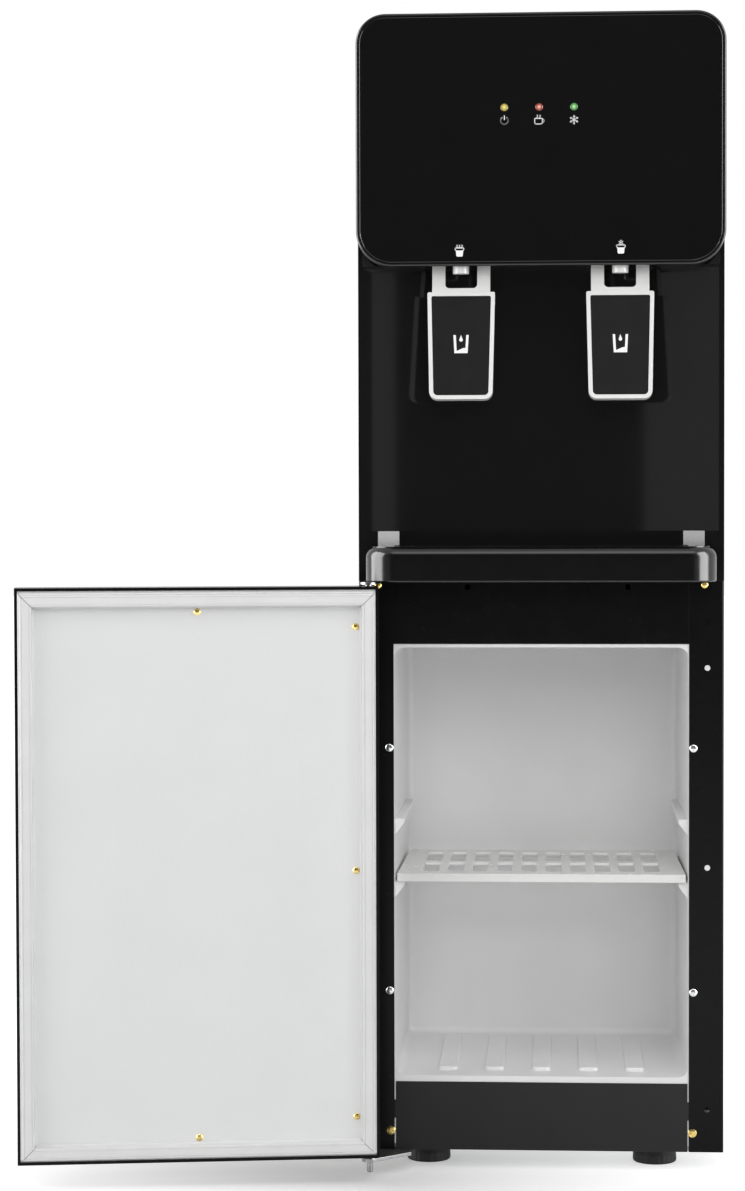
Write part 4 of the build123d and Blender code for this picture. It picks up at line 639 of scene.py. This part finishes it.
HOUSING_EDGE = 0.3 * MM
FASCIA_EDGE = 0.2 * MM
housing_black = finish("housing_black", (0.0080, 0.0080, 0.0083), 0.20, cloud=0.08, grain=0.06,
                       grain_size=0.0009, wear=0.03)
fascia_gloss = finish("fascia_gloss", (0.0042, 0.0042, 0.0044), 0.10, cloud=0.06, grain=0.0, wear=0.02)
piece(rounded(welded("head_housing"), HOUSING_EDGE), "head_frame", housing_black, "black_satin",
      "cabinet", "head_housing")
piece(rounded(welded("head_fascia"), FASCIA_EDGE), "head_face", fascia_gloss, "black_gloss", "cabinet",
      "head_fascia")

# ---- Indicator lamps and their board
# Three round lenses, lit yellow, red and green, with a bright spot over the
# diode behind each, on a small green board.

# Each lamp's name, its lens's colour and the colour of its bright spot.
LAMPS = (("power_lamp", (0.38, 0.28, 0.03), (0.72, 0.66, 0.26)),
         ("heating_lamp", (0.28, 0.028, 0.012), (0.78, 0.44, 0.36)),
         ("cooling_lamp", (0.045, 0.24, 0.04), (0.46, 0.74, 0.38)))
RIM_SHADE = 0.25           # the rim's colour, as a share of the lens's
TINT_FROM, SPOT_FROM = 0.42, 0.92
LAMP_GLOW = 0.30
LENS_ROUGH = 0.12
LENS_SIDES = 32
SPOT_REACH = 1.15          # where the glow ends, as a share of the lens's radius
# A half profile of shares of the lens's radius, out from its axis and back from its tip.
DOME_PROFILE = ((1, 0.30), (0.97, 0.22), (0.82, 0.12), (0.55, 0.05))
TIP_OUT, TIP_BACK = 0.25, 0.06 * MM


def lamp_glass(name, colour, spot, centre, radius):
    """A tinted lens that glows most at its middle."""
    made = bpy.data.materials.new(name)
    made.use_nodes = True
    tree = made.node_tree
    shader = tree.nodes["Principled BSDF"]
    place = tree.nodes.new("ShaderNodeTexCoord")
    mapping = tree.nodes.new("ShaderNodeMapping")
    mapping.inputs["Location"].default_value = [-value / radius for value in centre]
    mapping.inputs["Scale"].default_value = [1 / radius] * 3
    ball = tree.nodes.new("ShaderNodeTexGradient")
    ball.gradient_type = "SPHERICAL"
    ramp = tree.nodes.new("ShaderNodeValToRGB")
    ramp.color_ramp.elements[0].color = [value * RIM_SHADE for value in colour] + [1]
    ramp.color_ramp.elements[1].color = list(spot) + [1]
    ramp.color_ramp.elements[1].position = SPOT_FROM
    ramp.color_ramp.elements.new(TINT_FROM).color = list(colour) + [1]
    tree.links.new(place.outputs["Object"], mapping.inputs["Vector"])
    tree.links.new(mapping.outputs["Vector"], ball.inputs["Vector"])
    tree.links.new(ball.outputs["Fac"], ramp.inputs["Fac"])
    tree.links.new(ramp.outputs["Color"], shader.inputs["Base Color"])
    tree.links.new(ramp.outputs["Color"], shader.inputs["Emission Color"])
    shader.inputs["Emission Strength"].default_value = LAMP_GLOW
    shader.inputs["Roughness"].default_value = LENS_ROUGH
    return made


lamps = sorted(solids("indicator_leds"), key=lambda points: span(points)[0].x)
for points, (name, colour, spot) in zip(lamps, LAMPS):
    low, high = span(points)
    centre = (low + high) / 2
    radius = (high.x - low.x) / 2
    deep = high.y - low.y
    dome = [(0, deep), (radius, deep)]
    dome += [(radius * out, radius * back) for out, back in DOME_PROFILE]
    dome += [(radius * TIP_OUT, TIP_BACK), (0, 0)]
    shape = bmesh.new()
    turned_ring(shape, dome, Vector(), LENS_SIDES)
    bmesh.ops.recalc_face_normals(shape, faces=shape.faces)
    stand_up = Matrix.Translation((centre.x, low.y, centre.z)) @ Matrix.Rotation(radians(-90), 4, "X")
    bmesh.ops.transform(shape, matrix=stand_up, verts=shape.verts)
    glass = lamp_glass(name + "_glass", colour, spot, (centre.x, low.y, centre.z), radius * SPOT_REACH)
    lamp = piece(shape, name, glass, "lens", "cabinet", smooth=50)
    if name == "power_lamp":
        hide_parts("indicator_leds")
board_green = finish("board_green", (0.02, 0.14, 0.05), 0.35, cloud=0.15, cloud_size=0.004)
dress(board_green, "indicator_board")

# ---- Printed symbols
# Thin white screen prints: power, steaming cup and snow crystal under the
# lamps, a hot and a cold beaker over the taps, a filling glass on each paddle.

PRINT_T = 0.06 * MM
STROKE_LAP = 0.6           # a stroke outruns its points by this share of its width in all
SYMBOL_DROP = 10.9 * MM
# Widths and places in millimetres, the beakers' from the middle of the cooler and the
# lower edge of the fascia.
POWER_STROKE, CUP_STROKE, STEAM_STROKE, BEAKER_STROKE, WISP_STROKE = 0.76, 0.62, 0.65, 0.8, 0.75
CRYSTAL_R, CRYSTAL_STROKE = 3.7, 0.58
SMALL_CRYSTAL_R, SMALL_CRYSTAL_STROKE, SMALL_CRYSTAL_UP = 1.9, 0.55, 6.3
HOT_BEAKER, COLD_BEAKER = (-67.8, 7.8), (67.2, 9.3)
# A crystal's hub, forks and branches, as shares of its radius, and the branches' turn
# in degrees and width as a share of the arms'.
HUB, FORK, BRANCH = 0.08, 0.6, 0.26
BRANCH_TURN, BRANCH_WIDTH = 50, 0.8
print_white = finish("print_white", (0.90, 0.90, 0.90), 0.45, cloud=0.03, cloud_size=0.002, grain=0.1,
                     grain_size=0.0004)


def stroke(shape, points, width, origin):
    """A drawn line of some width through points in millimetres, as seen from the front."""
    for (x1, z1), (x2, z2) in zip(points, points[1:]):
        a, b = Vector((x1, 0, z1)) * MM, Vector((x2, 0, z2)) * MM
        run = b - a
        turn = run.to_track_quat("X", "Z").to_matrix().to_4x4()
        size = Matrix.Diagonal((run.length + width * MM * STROKE_LAP, PRINT_T, width * MM, 1))
        middle = Matrix.Translation(Vector(origin) + (a + b) / 2)
        bmesh.ops.create_cube(shape, size=1.0, matrix=middle @ turn @ size)


def patch(shape, outline, origin):
    """A filled print with an outline in millimetres, as seen from the front."""
    back = [shape.verts.new(Vector(origin) + Vector((x * MM, PRINT_T / 2, z * MM))) for x, z in outline]
    face = shape.faces.new(back)
    front = bmesh.ops.extrude_face_region(shape, geom=[face], use_keep_orig=True)["geom"]
    verts = [item for item in front if isinstance(item, bmesh.types.BMVert)]
    bmesh.ops.translate(shape, verts=verts, vec=(0, -PRINT_T, 0))


def arc(x, z, radius, start, end, steps=14):
    """Points along a circle's arc, its angles in degrees from the right, anticlockwise."""
    return [(x + radius * cos(radians(start + (end - start) * step / steps)),
             z + radius * sin(radians(start + (end - start) * step / steps))) for step in range(steps + 1)]


def beaker(shape, origin):
    """A tapered beaker with an open rim, 8 mm wide."""
    patch(shape, [(-3.1, 2.2), (-2.7, -2.3), (-2.0, -2.9), (2.0, -2.9), (2.7, -2.3), (3.1, 2.2)], origin)
    stroke(shape, [(-3.2, 2.4), (-3.7, 3.3), (-3.3, 4.3), (3.3, 4.3), (3.7, 3.3), (3.2, 2.4)],
           BEAKER_STROKE, origin)


def crystal(shape, origin, radius, width):
    """Six arms, each with a pair of short branches."""
    for arm in range(6):
        way = radians(90 + 60 * arm)
        tip = (radius * cos(way), radius * sin(way))
        fork = (tip[0] * FORK, tip[1] * FORK)
        stroke(shape, [(tip[0] * HUB, tip[1] * HUB), tip], width, origin)
        for turn in (-BRANCH_TURN, BRANCH_TURN):
            side = way + radians(turn)
            end = (fork[0] + radius * BRANCH * cos(side), fork[1] + radius * BRANCH * sin(side))
            stroke(shape, [fork, end], width * BRANCH_WIDTH, origin)


fascia_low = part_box("head_fascia")[0]
print_y = fascia_low.y - PRINT_T / 2
symbol_z = sum(span(lamps[0])[i].z for i in (0, 1)) / 2 - SYMBOL_DROP
power_at, cup_at, crystal_at = [(sum(span(points)[i].x for i in (0, 1)) / 2, print_y, symbol_z)
                                for points in lamps]
shape = bmesh.new()
stroke(shape, arc(0, 0, 3.1, 130, 410, 28), POWER_STROKE, power_at)
stroke(shape, [(0, 0.6), (0, 3.9)], POWER_STROKE, power_at)
stroke(shape, [(-3.7, 1.4), (-3.7, -2.4), (-2.9, -3.2), (1.9, -3.2), (2.7, -2.4), (2.7, 1.4), (-3.7, 1.4)],
       CUP_STROKE, cup_at)
stroke(shape, arc(2.9, -0.5, 1.3, -70, 70, 6), CUP_STROKE, cup_at)
for x in (-1.6, 0.7):
    stroke(shape, [(x - 0.3, 2.0), (x + 0.3, 3.0), (x, 4.2)], STEAM_STROKE, cup_at)
crystal(shape, crystal_at, CRYSTAL_R, CRYSTAL_STROKE)
hot_at, cold_at = [(x * MM, print_y, fascia_low.z + z * MM) for x, z in (HOT_BEAKER, COLD_BEAKER)]
beaker(shape, hot_at)
for x in (-2.1, 0.0, 2.1):
    stroke(shape, [(x - 0.35, 4.9), (x + 0.25, 5.7), (x, 6.7)], WISP_STROKE, hot_at)
beaker(shape, cold_at)
small_at = (cold_at[0], print_y, cold_at[2] + SMALL_CRYSTAL_UP * MM)
crystal(shape, small_at, SMALL_CRYSTAL_R, SMALL_CRYSTAL_STROKE)
piece(shape, "fascia_symbols", print_white, "black_gloss", "cabinet", smooth=20)

# ---- Taps
# Two white valve mouldings, each with a round nozzle, a pin for the lever and a
# nylon plunger on top. The white lever frames a black plate with a printed glass.

VALVE_EDGE = 0.5 * MM
PADDLE_EDGE = 1.0 * MM
INSERT_EDGE = 0.35 * MM
LEVER_LEAN = radians(-9.0)
# The printed glass, out from the lever's axis and under it, with the lever upright.
GLASS_OUT, GLASS_DROP = 3.6 * MM, 97.0 * MM
insert_black = finish("insert_black", (0.0045, 0.0045, 0.0047), 0.44, cloud=0.06, grain=0.4,
                      grain_size=0.0009, level=0.22)
piece(rounded(welded("faucet_bodies"), VALVE_EDGE), "tap_valves", moulding_white, "white_moulding",
      "cabinet", "faucet_bodies")
for name in ("hot", "cold"):
    joint = next(item for item in frame["joints"] if item["child"] == name + "_paddle")
    body = name + "_paddle"
    piece(rounded(welded(body + "_frame"), PADDLE_EDGE, segments=3), name + "_lever", moulding_white,
          "white_moulding", body, body + "_frame")
    piece(rounded(welded(body + "_insert"), INSERT_EDGE), name + "_plate", insert_black, "black_insert",
          body, body + "_insert")
    dress(nylon, name + "_valve_stem")
    shape = bmesh.new()
    tap = Vector(joint["pos_m"])
    tilt = Matrix.Translation(tap) @ Matrix.Rotation(LEVER_LEAN, 4, "X") @ Matrix.Translation(-tap)
    spot = (tap.x, tap.y - GLASS_OUT - PRINT_T / 2, tap.z - GLASS_DROP)
    patch(shape, [(-6.5, 7.8), (-5.6, -7.8), (-3.5, -7.8), (-4.4, 7.8)], spot)
    patch(shape, [(4.4, 7.8), (3.5, -7.8), (5.6, -7.8), (6.5, 7.8)], spot)
    patch(shape, [(-3.5, -7.8), (3.5, -7.8), (3.9, -3.2), (1.6, -3.5), (-0.4, -4.4), (-3.6, -5.9)], spot)
    patch(shape, arc(0, 3.6, 1.5, 160, 380, 12) + [(0, 7.8)], spot)
    bmesh.ops.recalc_face_normals(shape, faces=shape.faces)
    bmesh.ops.transform(shape, matrix=tilt, verts=shape.verts)
    piece(shape, name + "_glass_print", print_white, "black_insert", body, smooth=20)

# ---- Top cover
# The satin lid over the tanks, moulded in one shell as wide as the body, and
# open at the front where the head goes on.

COVER_EDGE = 0.6 * MM
cover_black = finish("cover_black", (0.0125, 0.0125, 0.0130), 0.34, cloud=0.08, grain=0.25,
                     grain_size=0.0010)
piece(rounded(welded("top_cover"), COVER_EDGE), "lid", cover_black, "black_satin", "cabinet",
      "top_cover")

# ---- Back fittings
# Switches, water inlet, drains and lead gland in the back sheet, and the black
# wire-and-tube condenser on its four straps.

FITTING_EDGE = 0.5 * MM
KEY_EDGE = 0.3 * MM
fitting_black = finish("fitting_black", (0.0120, 0.0120, 0.0120), 0.38, cloud=0.08, grain=0.2,
                       grain_size=0.0007)
piece(rounded(welded("switch_housings"), FITTING_EDGE), "switch_frames", fitting_black, "black_satin",
      "cabinet", "switch_housings")
for name, colour in (("heating", (0.50, 0.015, 0.012)), ("cooling", (0.012, 0.30, 0.06))):
    rocker_gloss = finish(name + "_rocker_gloss", colour, 0.20, cloud=0.04, grain=0.0)
    slot = "rocker_red" if name == "heating" else "rocker_green"
    piece(rounded(welded(name + "_rocker"), KEY_EDGE), name + "_key", rocker_gloss, slot,
          name + "_switch", name + "_rocker")
piece(rounded(welded("inlet_fitting"), FITTING_EDGE), "inlet_union", nylon, "nylon", "cabinet",
      "inlet_fitting")
piece(rounded(welded("mains_gland"), FITTING_EDGE), "lead_gland", fitting_black, "black_satin",
      "cabinet", "mains_gland")
piece(rounded(welded("drain_caps"), FITTING_EDGE), "drain_stoppers", nylon, "nylon", "cabinet",
      "drain_caps")
dress(nylon, "drain_spigots")
dip_coat = finish("dip_coat", (0.0135, 0.0135, 0.0135), 0.33, cloud=0.15, cloud_size=0.01, grain=0.25,
                  grain_size=0.0015)
dress(dip_coat, "condenser_tube", "condenser_wires", "condenser_brackets")

# ---- Compressor
# A deep-drawn steel shell, welded round its middle and stove enamelled, on a
# base plate and four rubber grommets, with its terminal cover on one side.

enamel = finish("enamel", (0.0110, 0.0110, 0.0112), 0.22, cloud=0.10, cloud_size=0.02, grain=0.15,
                grain_size=0.0020)
piece(rounded(welded("compressor"), FITTING_EDGE), "compressor_shell", enamel, "compressor_black",
      "cabinet", "compressor")
dress(foot_rubber, "compressor_mounts")

# ---- Tanks and pipes inside
# Stainless tanks, copper coil and lines, heater band, thermostats and silicone
# tubes. They are closed in by the body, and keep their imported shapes.

stainless = finish("stainless", (0.62, 0.62, 0.61), 0.28, metal=1.0, stretch=(1, 1, 20), cloud_size=0.01)
copper = finish("copper", (0.72, 0.33, 0.18), 0.26, metal=1.0, cloud=0.18, cloud_size=0.01)
bead_foam = finish("bead_foam", (0.84, 0.84, 0.83), 0.80, cloud=0.04, cloud_size=0.003, grain=0.9,
                   grain_size=0.0035, level=0.2)
silicone = finish("silicone", (0.72, 0.74, 0.72), 0.35, cloud=0.03)
heat_tint = finish("heat_tint", (0.36, 0.31, 0.26), 0.42, metal=1.0, cloud=0.25, cloud_size=0.012)
phenolic = finish("phenolic", (0.020, 0.016, 0.014), 0.40)
dress(galvanised, "tank_deck")
dress(stainless, "cold_tank", "hot_tank")
dress(bead_foam, "cold_tank_insulation")
dress(copper, "evaporator_coil", "refrigerant_lines")
dress(heat_tint, "heater_band")
dress(phenolic, "thermostats")
dress(silicone, "water_tubes")
